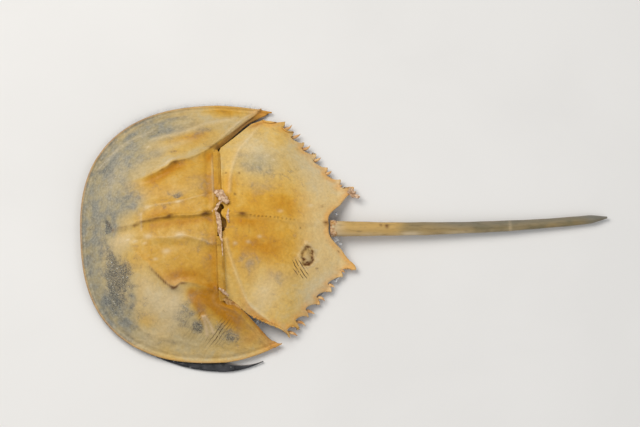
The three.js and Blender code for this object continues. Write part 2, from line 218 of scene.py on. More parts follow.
def rim_point(u):
    """The rim from the left genal spine (u = -1), round the front, to the right one (1)."""
    share = 0.79
    along = np.abs(u)
    angle = np.pi / 2 * np.minimum(along / share, 1)
    round_x = -CARAPACE_FRONT * np.cos(angle) ** (2 / SQUARENESS)
    round_y = CARAPACE_HALF * np.sin(angle) ** (2 / SQUARENESS)
    side_x = GENAL_X * (along - share) / (1 - share)
    straight = along > share
    x = np.where(straight, side_x, round_x)
    y = np.where(straight, rim_half_width(side_x), round_y)
    return np.stack([x, np.sign(u) * y], -1)


def shift_to_row():
    """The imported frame's shift: the carapace's box against the same outline drawn here."""
    outline = rim_point(0.975 * np.linspace(-1, 1, 61))
    placed = turned(np.hstack([outline, np.zeros((61, 1))]), FORE_YAW, FORE_Y)
    low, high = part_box("carapace")
    return np.array([low.x / MM - placed[:, 0].min(), high.y / MM - placed[:, 1].max(), 0])


SHIFT = shift_to_row()


def fore(points):
    """Front-shield points in the scene. Both rear corners sit a little to the right, as the shell dried."""
    points = np.array(points, float)
    x, y = points[..., 0], points[..., 1]
    points[..., 1] = y + CORNER_SPLAY * (np.clip(x, 0, None) / GENAL_X) ** 2 * ease(np.abs(y), 22, 34)
    return turned(points, FORE_YAW, FORE_Y) + SHIFT


def hind(points):
    """Rear-shield points in the scene."""
    return turned(np.asarray(points, float), HIND_YAW, HIND_Y) + SHIFT


def tail(points):
    """Tail points, whose origin is the tail's socket, in the scene."""
    return hind(turned(np.asarray(points, float), TAIL_YAW, 0) + np.array([BODY_LENGTH + GAP, 0, TAIL_Z]))


# ---- meshes ----

def linked(name, data):
    made = bpy.data.objects.new(name, data)
    bpy.context.scene.collection.objects.link(made)
    return made


def make_piece(name, vertices, faces, material, replaces=(), masks=None):
    """An object of these points in millimetres. Nothing reaches below the ground."""
    vertices = np.maximum(np.asarray(vertices), [-np.inf, -np.inf, 0])
    mesh = bpy.data.meshes.new(name)
    mesh.from_pydata((vertices * MM).tolist(), [], faces)
    mesh.polygons.foreach_set("use_smooth", [True] * len(faces))
    for key, values in (masks or {}).items():
        layer = mesh.attributes.new(key, "FLOAT", "POINT")
        layer.data.foreach_set("value", np.asarray(values, np.float32).ravel())
    mesh.materials.append(material)
    made = linked(name, mesh)
    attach(made, "root")
    if replaces:
        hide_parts(*replaces)


def border_of(columns, rows):
    """The grid's border, once around."""
    return (
        [(0, j) for j in range(rows)] + [(i, rows) for i in range(columns)]
        + [(columns, j) for j in range(rows, 0, -1)] + [(i, 0) for i in range(columns, 0, -1)]
    )


def closed_shell(outer, thickness, masks=None, bead=0.2):
    """A grid of outer points (left to right, front to rear) closed by an inner side and a rounded edge."""
    columns, rows = outer.shape[0] - 1, outer.shape[1] - 1
    normal = unit(np.cross(np.gradient(outer, axis=1), np.gradient(outer, axis=0)))
    inner = outer - normal * thickness
    index = np.arange((columns + 1) * (rows + 1)).reshape(columns + 1, rows + 1)
    top = np.stack([index[:-1, :-1], index[:-1, 1:], index[1:, 1:], index[1:, :-1]], -1).reshape(-1, 4)
    faces = top.tolist() + (top[:, ::-1] + index.size).tolist()
    border = border_of(columns, rows)
    i, j = np.array(border).T
    edge = outer[i, j]
    outward = unit(np.cross(np.roll(edge, -1, 0) - np.roll(edge, 1, 0), normal[i, j]))
    middle = (edge + inner[i, j]) / 2 + outward * bead
    start, count = 2 * index.size, len(border)
    for k in range(count):
        n = (k + 1) % count
        p, q = int(index[border[k]]), int(index[border[n]])
        faces.append([q, p, start + k, start + n])
        faces.append([start + n, start + k, p + index.size, q + index.size])
    vertices = np.vstack([outer.reshape(-1, 3), inner.reshape(-1, 3), middle])
    spread = {
        key: np.concatenate([np.ravel(values), np.ravel(values), values[i, j]])
        for key, values in (masks or {}).items()
    }
    return vertices, faces, spread


def rings_to_tube(rings):
    """A closed body through rings, as an array of (stations, sides, 3)."""
    stations, sides = rings.shape[:2]
    index = np.arange(stations * sides).reshape(stations, sides)
    following = np.roll(index, -1, 1)
    quads = np.stack([index[:-1], following[:-1], following[1:], index[1:]], -1).reshape(-1, 4).tolist()
    return rings.reshape(-1, 3), quads + [index[0, ::-1].tolist(), index[-1].tolist()]


def tube(points, radii, sides=12, flatness=0.85, steps=6, swelling=()):
    """A tapering limb through points, with a radius at each and, if given, swollen joints."""
    line = smooth_line(points, steps)
    place = np.linspace(0, len(points) - 1, len(line))
    radius = np.interp(place, np.arange(len(points)), radii)
    for joint, gain in swelling:
        radius = radius * (1 + gain * bell(place - joint, 0.16))
    across, up = level_and_rise(line)
    angle, radius = around(sides), radius[:, None]
    rings = line[:, None] + across[:, None] * (radius * np.cos(angle))[..., None]
    return rings_to_tube(rings + up[:, None] * (radius * flatness * np.sin(angle))[..., None])


def joined(parts):
    """Several (vertices, faces) as one."""
    vertices, faces, start = [], [], 0
    for some, polygons in parts:
        vertices.append(some)
        faces += [[k + start for k in polygon] for polygon in polygons]
        start += len(some)
    return np.vstack(vertices), faces


def make_shell(name, place, outer, thickness, material, node, masks=None, bead=0.2):
    """A closed shell as a piece that replaces one CAD node."""
    vertices, faces, masks = closed_shell(outer, thickness, masks, bead)
    make_piece(name, place(vertices), faces, material, [node], masks)


# ---- materials ----

def linear(red, green, blue):
    """An sRGB colour from 0 to 255, as a shader's linear one."""
    share = np.array([red, green, blue]) / 255
    return (*np.where(share <= 0.04045, share / 12.92, ((share + 0.055) / 1.055) ** 2.4), 1)


class Finish:
    """A node material whose nodes are added by short calls."""

    def __init__(self, name, roughness=0.5, specular=0.5):
        self.material = bpy.data.materials.new(name)
        self.material.use_nodes = True
        self.tree = self.material.node_tree
        self.surface = self.tree.nodes["Principled BSDF"]
        self.set("Roughness", roughness)
        self.set("Specular IOR Level", specular)
        self.place = self.add("TexCoord").outputs["Object"]

    def feed(self, socket, value):
        if isinstance(value, bpy.types.NodeSocket):
            self.tree.links.new(value, socket)
        else:
            socket.default_value = value

    def set(self, name, value):
        self.feed(self.surface.inputs[name], value)

    def add(self, kind, inputs=None, **settings):
        made = self.tree.nodes.new("ShaderNode" + kind)
        for key, value in settings.items():
            setattr(made, key, value)
        for key, value in (inputs or {}).items():
            self.feed(made.inputs[key], value)
        return made

    def noise(self, size, detail=3, stretch=None, distortion=0):
        """Noise from 0 to 1 whose features are about size millimetres across."""
        place = self.place
        if stretch:
            place = self.add("Mapping", {"Vector": place, "Scale": stretch}).outputs[0]
        values = {"Vector": place, "Scale": 1 / (size * MM), "Detail": detail, "Distortion": distortion}
        return self.add("TexNoise", values).outputs["Fac"]

    def math(self, operation, first, second=0.0, third=0.0):
        return self.add("Math", {0: first, 1: second, 2: third}, operation=operation).outputs[0]

    def times(self, first, second):
        return self.math("MULTIPLY", first, second)

    def plus(self, first, share, second):
        """First times share, plus second."""
        return self.math("MULTIPLY_ADD", first, share, second)

    def span(self, value, low, high, to_low=0.0, to_high=1.0):
        """Eased from to_low where the value is low to to_high where it is high."""
        inputs = {"Value": value, "From Min": low, "From Max": high, "To Min": to_low, "To Max": to_high}
        return self.add("MapRange", inputs, interpolation_type="SMOOTHSTEP").outputs[0]

    def mask(self, name):
        return self.add("Attribute", attribute_name=name).outputs["Fac"]

    def mix(self, share, first, second, blend="MIX"):
        inputs = {"Fac": share, "Color1": first, "Color2": second}
        return self.add("MixRGB", inputs, blend_type=blend).outputs[0]

    def ramp(self, share, stops):
        made = self.add("ValToRGB", {"Fac": share})
        elements = made.color_ramp.elements
        elements[0].position, elements[0].color = stops[0]
        elements[1].position, elements[1].color = stops[-1]
        for position, colour in stops[1:-1]:
            elements.new(position).color = colour
        return made.outputs[0]

    def relief(self, height, distance, strength=1.0):
        inputs = {"Height": height, "Distance": distance * MM, "Strength": strength}
        self.set("Normal", self.add("Bump", inputs).outputs[0])


TAN = linear(195, 175, 130)
STRAW = linear(206, 170, 94)
AMBER = linear(202, 153, 56)
DEEP_AMBER = linear(184, 122, 8)
# The three haze greys are painted see-through shade: the grey of a dark backdrop showing through thin
# cuticle, painted opaque.
HAZE = linear(120, 124, 120)
DULL_HAZE = linear(160, 148, 114)
PALE_HAZE = linear(182, 177, 160)
SLATE = linear(62, 66, 70)
FLECK = linear(206, 206, 198)
CREAM = linear(220, 200, 162)
BROWN = linear(98, 58, 16)
SCRATCH = linear(84, 60, 34)
ORANGE = linear(208, 144, 56)
CUTICLE_MASKS = ("amber", "haze", "speck", "pale", "brown", "orange", "scratch")


def named_masks(*values):
    return {key: np.clip(value, 0, 1.2) for key, value in zip(CUTICLE_MASKS, values)}


def cuticle_material(name, light_gain=1.0, haze_bias=0.0, scratch_turn=0.0):
    """Dry cuticle. The masks say where it is amber, hazy, speckled, pale, brown, orange or scratched. The
    hazy grey is painted see-through shade, some pale is a painted highlight and some brown a painted shadow.
    """
    mat = Finish(name, specular=0.24)
    broad = mat.noise(7, 4)
    middle = mat.noise(2.4, 6, distortion=0.5)
    fine = mat.noise(0.8, 5)
    grain = mat.noise(0.26, 3)
    wander = mat.plus(broad, 0.6, -0.3)
    wander = mat.plus(middle, 0.5, mat.math("SUBTRACT", wander, 0.25))
    amber = mat.math("ADD", mat.mask("amber"), wander)
    colour = mat.ramp(amber, [(0.0, TAN), (0.3, STRAW), (0.62, AMBER), (1.0, DEEP_AMBER)])

    # Painted see-through shade: grey clouds where a dark backdrop would show through thin cuticle.
    cloud = mat.plus(middle, 0.8, mat.plus(broad, 0.9, haze_bias - 0.85))
    haze = mat.span(mat.math("ADD", mat.mask("haze"), cloud), 0.0, 1.0, 0, 0.86)
    smoke = mat.mix(mat.span(mat.noise(4, 5), 0.36, 0.64), HAZE, DULL_HAZE)
    smoke = mat.mix(mat.span(fine, 0.35, 0.8, 0, 0.45), smoke, PALE_HAZE)
    colour = mat.mix(haze, colour, smoke)

    # Speckled areas: half painted see-through grey, then slate dots and pale flecks.
    spread = mat.plus(middle, 1.6, mat.math("SUBTRACT", mat.mask("speck"), 0.8))
    near = mat.span(spread, 0.05, 0.95)
    colour = mat.mix(mat.times(near, 0.5), colour, HAZE)
    dots = mat.span(mat.plus(near, 0.1, grain), 0.54, 0.64)
    colour = mat.mix(mat.times(mat.times(dots, near), 0.8), colour, SLATE)
    flecks = mat.span(mat.noise(0.4, 2), 0.62, 0.74)
    colour = mat.mix(mat.times(flecks, near), colour, FLECK)

    colour = mat.mix(mat.times(mat.mask("pale"), 0.8), colour, CREAM)
    colour = mat.mix(mat.mask("orange"), colour, ORANGE)
    colour = mat.mix(mat.mask("brown"), colour, BROWN)
    stain = mat.times(mat.span(grain, 0.6, 0.74), mat.span(middle, 0.4, 0.65))
    colour = mat.mix(mat.times(stain, 0.42), colour, BROWN)

    rotation = (0, 0, math.radians(scratch_turn))
    lanes = mat.add("Mapping", {"Vector": mat.place, "Rotation": rotation}).outputs[0]
    values = {"Vector": lanes, "Scale": 0.32 / MM, "Distortion": 3.2, "Detail": 3, "Detail Scale": 1.2}
    lines = mat.add("TexWave", values).outputs["Fac"]
    cut = mat.times(mat.span(lines, 0.76, 0.95), mat.mask("scratch"))
    colour = mat.mix(mat.times(cut, mat.span(fine, 0.36, 0.5)), colour, SCRATCH)
    # Random mottling, times a painted light factor that darkens or brightens each shield's copy as a whole to
    # make up for how the lamps fall on it.
    shade = mat.span(fine, 0.3, 0.7, 0.94 * light_gain, 1.06 * light_gain)
    mat.set("Base Color", mat.mix(1.0, colour, shade, "MULTIPLY"))
    mat.set("Roughness", mat.span(middle, 0.3, 0.7, 0.38, 0.58))
    mat.relief(mat.plus(fine, 0.6, mat.times(grain, 0.4)), 0.17, 0.9)
    return mat.material


def film_material():
    """The thin grey band under the rim: smoky and glossy, paler along its edges, where the paleness on the
    loose end's inner edge is a painted highlight.
    """
    mat = Finish("smoky_film", roughness=0.3, specular=0.4)
    cloud = mat.noise(3.5, 4)
    colour = mat.mix(mat.span(cloud, 0.35, 0.7), linear(26, 26, 28), linear(50, 50, 54))
    colour = mat.mix(mat.mask("pale"), colour, linear(140, 130, 122))
    flecks = mat.span(mat.noise(0.6, 1), 0.74, 0.78)
    mat.set("Base Color", mat.mix(mat.times(flecks, 0.7), colour, FLECK))
    mat.set("Roughness", mat.span(cloud, 0.3, 0.7, 0.24, 0.42))
    mat.relief(mat.noise(1.2, 4), 0.08)
    return mat.material


def tail_material():
    """Olive cuticle, amber near the socket, with tan edges; the tan along the lower edge is a painted
    highlight.
    """
    mat = Finish("tail_cuticle", specular=0.45)
    grain = mat.noise(0.8, 5, stretch=(0.25, 1, 1))
    patch = mat.noise(3, 3, stretch=(0.4, 1, 1))
    colour = mat.mix(mat.span(patch, 0.3, 0.7), linear(112, 102, 70), linear(142, 124, 86))
    colour = mat.mix(mat.mask("amber"), colour, linear(193, 156, 88))
    colour = mat.mix(mat.mask("pale"), colour, linear(206, 184, 146))
    colour = mat.mix(mat.mask("haze"), colour, linear(118, 114, 102))
    colour = mat.mix(mat.mask("brown"), colour, BROWN)
    streak = mat.times(mat.span(grain, 0.5, 0.75), 0.4)
    mat.set("Base Color", mat.mix(streak, colour, linear(86, 72, 44)))
    mat.set("Roughness", mat.span(grain, 0.3, 0.7, 0.36, 0.54))
    mat.relief(grain, 0.1)
    return mat.material


def plain_material(name, light, dark, roughness, size=1.5, relief=0.1, alpha=1.0):
    """A mottled finish between two colours."""
    mat = Finish(name, roughness=roughness)
    cloud = mat.noise(size, 5, distortion=0.3)
    mat.set("Base Color", mat.mix(mat.span(cloud, 0.35, 0.68), light, dark))
    mat.relief(cloud, relief)
    mat.set("Alpha", alpha)
    return mat.material


def membrane_material():
    """Dry soft skin, pinkish white where it is torn and amber where it still joins the shields."""
    mat = Finish("dry_membrane", roughness=0.6)
    cloud = mat.noise(0.8, 6, distortion=0.4)
    skin = mat.mix(mat.span(cloud, 0.35, 0.68), linear(222, 190, 158), linear(158, 118, 82))
    gold = mat.mix(mat.span(cloud, 0.35, 0.68), linear(198, 150, 56), linear(170, 112, 20))
    colour = mat.mix(mat.mask("amber"), skin, gold)
    mat.set("Base Color", mat.mix(mat.mask("brown"), colour, BROWN))
    mat.relief(cloud, 0.08)
    return mat.material


# Painted light: the front copy is darkened and the rear copy brightened to make up for how the lamps fall on
# each shield.
FRONT_CUTICLE = cuticle_material("front_cuticle", light_gain=0.95, scratch_turn=-140)
REAR_CUTICLE = cuticle_material("rear_cuticle", light_gain=1.1, haze_bias=-0.1, scratch_turn=-35)
HINGE_SKIN = cuticle_material("hinge_skin", light_gain=0.98, haze_bias=-0.3)
FILM = film_material()
TAIL_CUTICLE = tail_material()
MEMBRANE = membrane_material()
SCRAP = plain_material("clear_scrap", linear(222, 222, 220), linear(150, 150, 152), 0.35, 0.9, 0.1, 0.8)
LIMB = plain_material("limb_cuticle", linear(206, 158, 88), linear(150, 96, 42), 0.45)
GILL = plain_material("gill_cuticle", linear(196, 160, 108), linear(150, 112, 66), 0.5)
SPINE = plain_material("spine_cuticle", linear(226, 184, 124), linear(198, 140, 76), 0.42, 1.2, 0.05)
HAIR = plain_material("white_hair", linear(236, 238, 240), linear(196, 202, 210), 0.5, 0.5, 0.02)


# ---- the front shield ----

GENAL_MARGINS = {
    1: smooth_line([[-GAP, HINGE_HALF], [4.8, 29.2], [10.3, 34.6], [14.6, 37.1], [GENAL_X, GENAL_Y]]),
    -1: smooth_line([[-GAP, HINGE_HALF], [5.8, 27.0], [10.4, 31.4], [14.7, 36.4], [GENAL_X, GENAL_Y]]),
}
# The crests that run back from the head past each eye, as distances from the axis.
EYE_CRESTS = {
    1: smooth_line([
        [-28, 15.6], [-22, 16.3], [-16, 18.8], [-13.6, 20.5], [-8.5, 21.6], [-4, 23.8], [-1, 26.2],
    ]),
    -1: smooth_line([[-24, 11.6], [-20.6, 15.9], [-15.2, 20.8], [-12.6, 19.6], [-8, 20.1], [-1.6, 22.0]]),
}
KEEL = smooth_line([[-34, 0.2], [-29, 0.0], [-23.8, 1.0], [-16, 1.6], [-8, 1.4], [-2.4, 1.7]])
LOBE_EDGES = {
    1: smooth_line([[-24.5, 3.9], [-20.6, 5.8], [-12.5, 6.3], [-4, 8.2]]),
    -1: smooth_line([[-21.8, 4.5], [-15, 5.2], [-12, 4.7], [-6.4, 6.4], [-2.2, 7.8]]),
}
MARGIN_FOLD = smooth_line([[-37.7, 22.1], [-30.5, 29.1], [-23.5, 32.3], [-19.7, 33.6]])
GENAL_FOLD = smooth_line([[-19, 30.4], [-14.5, 31.3], [-8, 32.9], [-1.5, 35.7], [7.1, 37.2]])
LEFT_FOLD = smooth_line([[-36.6, -1.5], [-35.3, -6.4], [-33.6, -10.5], [-31.4, -13.6]])
CLAW_ARM = smooth_line([[-9.6, -22.6], [-8.0, -26.0], [-5.9, -29.9]])
CLAW_FINGERS = [smooth_line([[-6.2, -29.6], [-5.4, -31.6], [-5.0, -34.3]]),
                smooth_line([[-5.4, -29.4], [-4.2, -31.2], [-3.1, -33.7]])]
WEDGE_EDGE = np.array([[-35.6, 3.9], [-33.8, 0.2]])


def rear_point(u):
    """The rear margin: the hinge in the middle, then the inner edge of each genal spine."""
    along = np.abs(u)
    hinge_y = u / 0.5 * HINGE_HALF
    worn = 0.3 * rough(hinge_y, hinge_y, 4.5, 61) * ease(along, 0.5, 0.44)
    hinge = np.stack([worn - GAP - 0.3, hinge_y], -1)
    flank = np.zeros(u.shape + (2,))
    for side, margin in GENAL_MARGINS.items():
        point = at_share(margin, (along - 0.5) / 0.5)
        flank = np.where((np.sign(u) == side)[..., None], point * [1, side], flank)
    return np.where((along < 0.5)[..., None], hinge, flank)


def front_plan(columns, rows):
    u, v = grid(columns, rows)
    u, share = 0.9985 * u, crowded(v, 0.42)[..., None]
    return rim_point(u) * (1 - share) + rear_point(u) * share


class Features:
    """Points of a shield and how far they lie from the lines that its relief and colours follow."""

    def __init__(self, plan):
        self.x, self.y = plan[..., 0], plan[..., 1]
        self.right = self.y >= 0

    def to(self, line):
        return beside(self.x, self.y, line)

    def pick(self, lines):
        """Distances to the line on each point's own side of the axis, positive away from the axis."""
        left = beside(self.x, -self.y, lines[-1])
        return [np.where(self.right, a, b) for a, b in zip(self.to(lines[1]), left)]


class FrontFeatures(Features):
    def __init__(self, plan):
        super().__init__(plan)
        self.ahead = np.maximum(-self.x, 0) / CARAPACE_FRONT
        aside = np.abs(self.y) / np.maximum(rim_half_width(np.maximum(self.x, 0)), 1e-6)
        self.inward = np.maximum(1 - (self.ahead ** SQUARENESS + aside ** SQUARENESS) ** (1 / SQUARENESS), 0)
        self.from_rim = self.inward * CARAPACE_HALF
        self.crest, self.margin, self.lobe = map(self.pick, (EYE_CRESTS, GENAL_MARGINS, LOBE_EDGES))
        self.keel, self.margin_fold = self.to(KEEL), self.to(MARGIN_FOLD)
        self.genal_fold, self.left_fold = self.to(GENAL_FOLD), self.to(LEFT_FOLD)


def claw_relief(x, y):
    """A leg lies just under the left cheek and shows through as a low raised form."""
    distance, _, share = beside(x, y, CLAW_ARM)
    z = 0.8 * bell(distance, 1.2 + 0.5 * share) * ease(share, 0, 0.5)
    for finger in CLAW_FINGERS:
        distance, _, share = beside(x, y, finger)
        z += 0.75 * bell(distance, 0.42) * (1 - 0.5 * share)
    return z


# Each spot: strength, x, y, two radii and perhaps a turn in degrees.
FRONT_SPOTS = {
    "bumps": [
        (1.0, -31.4, -4.6, 3.4, 2.6), (-0.9, -35.4, 2.2, 1.1, 2.4, 12), (0.55, -28.5, 6.5, 3.0, 2.4),
        (0.6, -15.2, 1.6, 1.2, 0.6), (0.6, -3.6, 1.6, 1.2, 0.6),
        (0.85, -13.7, 20.8, 1.9, 0.9, 24), (0.85, -15.0, -20.6, 1.9, 0.9, -24),
    ],
    "amber": [
        (0.55, -14.6, 18.0, 4.6, 1.9, 22), (0.35, -20, 15, 4, 2, 10), (0.3, -2.0, 22.5, 1.8, 2.4),
        (0.4, -12, -17.2, 7, 2.4, 4), (0.3, -13, -0.6, 14, 1.3, 3), (0.95, 1.5, -28.5, 10, 4.2, -42),
        (0.6, -4, -24, 5, 3, -20), (0.5, 3.7, 40, 6.5, 1.8, -8), (0.4, -6, 29.6, 5, 2, 14),
        (0.3, -23.8, -29.3, 2.6, 2.0), (0.25, -19, 3, 6, 2), (-0.12, -27, 7, 5, 4), (0.2, -1, -12, 3, 8),
        (0.15, -2.5, 12, 2.6, 8), (0.4, -26, -11, 4, 4, 20), (0.3, -8, 31, 9, 2.2, 14),
        (0.25, -10, 25.6, 7, 1.6, 16),
    ],
    # Spots of painted see-through shade.
    "haze": [
        (0.6, -31, 12, 8, 11), (0.6, -18, 32.6, 8.5, 2.2, 8), (0.4, -17.5, 24.4, 4, 2, 20),
        (0.4, -27, 7, 6, 3), (0.4, -25, 24, 7, 5, -30), (0.5, -28.2, -22, 1.8, 5.5, -6),
        (0.45, -13.5, -35.6, 9, 1.8, -4),
        (0.45, -9.5, -29, 5, 5), (0.5, 2, -34, 7, 3.2, -16), (0.3, -6, -6.5, 5, 3), (0.4, -12.5, 9.4, 4, 1.8),
        (0.35, -6, 12, 4, 4), (0.4, -34, 0, 3, 5), (0.3, -3, 33, 9, 1.4, 10), (0.3, -26.6, -11.6, 3, 3),
        (-0.5, -31.4, -4.8, 3.4, 2.8), (-0.5, -21, -27, 8, 6),
    ],
    "speck": [
        (0.85, -31.4, -14.5, 3.6, 4.6, 22), (0.7, -33.6, -20, 3.4, 5.4, 8), (0.4, -34.6, -9, 1.8, 5),
        (0.4, -28.6, -24, 1.0, 3.4, -10), (0.8, -12.4, -28.6, 3.4, 3.6), (1.0, -7.9, -32.2, 2.0, 1.6, 30),
        (0.85, 2.4, -35.0, 3, 1.8, -18), (0.35, -1.4, -31.6, 1.4, 2.2), (0.4, -18.2, 33.0, 4.4, 1.1, 8),
        (0.85, -13.0, 8.6, 2.0, 1.0), (0.42, -17.5, 5.6, 3.2, 1.0, 4), (0.55, -35.3, 2.4, 0.9, 2.3, 12),
        (0.3, -29, 8.6, 4.4, 2.2), (0.35, -36.4, 21.5, 1.2, 2.6, -42), (0.3, -5.6, -7.8, 3.4, 1.8),
        (0.4, -24.5, -25.5, 3, 3),
    ],
    "pale": [
        (0.45, -31.6, -4.8, 3.2, 2.4), (0.3, -29.6, -3.4, 3, 2), (0.62, -18.5, -25, 6.6, 6),
        (0.3, -20, -33, 6, 2.4, 16), (0.25, -33, 16, 3, 8, -24), (0.3, -14.5, -24.5, 2.6, 5, -8),
        (0.35, -24, -19, 3, 5), (0.35, 9, 33, 6, 1.8, 40), (0.3, -12, 27.4, 8, 1.2, 18),
    ],
    "scratch": [(1.0, -1.2, -33.6, 5.4, 2.6, 50), (0.9, -9.5, -31.0, 5, 2.6, 12)],
}
FRONT_FLAKES = [
    (-28.9, -4.3, 0.6), (-26.7, -5.0, 0.7), (-22.4, -4.1, 1.4), (-23.6, -6.1, 0.6), (-16.8, -9.2, 1.3),
    (-12.4, 6.3, 1.0), (-12.3, -4.6, 1.7), (-20.4, -11.4, 0.7), (-21.5, 27.4, 0.8), (-24.5, 3.6, 0.5),
    (-22.4, 5.6, 1.1),
]
FRONT_STAINS = [
    (-15.3, 1.5, 1.3, 0.8), (-3.7, 1.8, 1.4, 0.9), (-1.2, 3.5, 0.8, 0.7), (-1.4, 26.0, 1.4, 0.75),
    (-24.0, -0.6, 0.5, 0.9), (-1.6, -21.6, 1.6, 0.85), (-12.6, 20.2, 0.9, 0.7), (-15.0, -20.9, 0.9, 0.6),
    (14.8, -39.0, 0.5, 0.9), (-12.9, 24.6, 0.45, 0.8), (-33, 0.0, 1.0, 0.5),
]


def front_height(f):
    x, y = f.x, f.y
    rise = SIDE_RISE + (FRONT_RISE - SIDE_RISE) * f.ahead ** 0.8
    z = RIM_TOP + DOME * (1 - np.exp(-((rise * f.inward) ** 1.5)))
    _, offset, share = f.crest
    strength = ease(share, 0.0, 0.2) * (1 - 0.35 * ease(share, 0.65, 1)) * np.where(f.right, 0.7, 0.42)
    z += strength * (bell(offset - 0.1, 0.8) - 0.6 * bell(offset + 1.9, 1.2) - 0.4 * bell(offset - 3.2, 2.0))
    distance, _, share = f.keel
    z += (0.95 * bell(distance, 0.55) + 0.35 * bell(distance, 2.0)) * ease(share, 0, 0.08)
    distance, offset, share = f.lobe
    z += ease(share, 0, 0.15) * (0.26 * bell(distance, 0.5) - 0.4 * ease(offset, 0, 2.4))
    z -= 0.5 * ease(-f.crest[1], 0, 3) * ease(f.lobe[1], 0, 3) * ease(x, -30, -22)
    z += spots(x, y, FRONT_SPOTS["bumps"])
    z += 0.45 * bell(f.margin_fold[1] - 0.2, 0.5) - 0.4 * bell(f.margin_fold[1] + 0.9, 0.6)
    z += 0.55 * bell(f.genal_fold[1], 0.75) - 0.35 * bell(f.genal_fold[1] - 1.8, 1.0)
    z -= 0.35 * bell(f.left_fold[0], 0.4)
    z += 0.42 * bell(f.from_rim - 0.35, 0.4) - 0.32 * bell(f.from_rim - 1.5, 0.6)
    z += 0.2 * bell(f.from_rim - 4.6 - 0.8 * rough(x, y, 9, 11), 0.5) * ease(-x, 2, 12)
    hinge = ease(np.abs(y), HINGE_HALF, HINGE_HALF - 1.5)
    z += hinge * (0.3 * bell(x + 1.3, 0.5) - 0.25 * bell(x + 2.9, 0.8))
    rolled = np.where(f.right, 1.9, 1.5)
    near_margin = np.clip(1 - f.margin[0] / rolled, 0, 1) * ease(f.margin[2], 0.0, 0.06)
    z -= (0.3 + 1.2 * ease(z, 2.4, 9)) * near_margin ** 1.3 * (1 - ease(f.margin[2], 0.75, 1))
    z += 0.5 * bell(f.margin[0] - rolled - 0.3, 0.5) * ease(f.margin[2], 0.0, 0.1)
    z += claw_relief(x, y)
    wrinkle = 0.1 * rough(x, y, 4.2, 21) + 0.05 * rough(x, y, 1.3, 31) + 0.035 * rough(x, y, 0.7, 37, 2)
    return z + ease(f.from_rim, 0, 0.7) * wrinkle * (1 + 0.8 * ease(-f.inward, -0.35, -0.05))


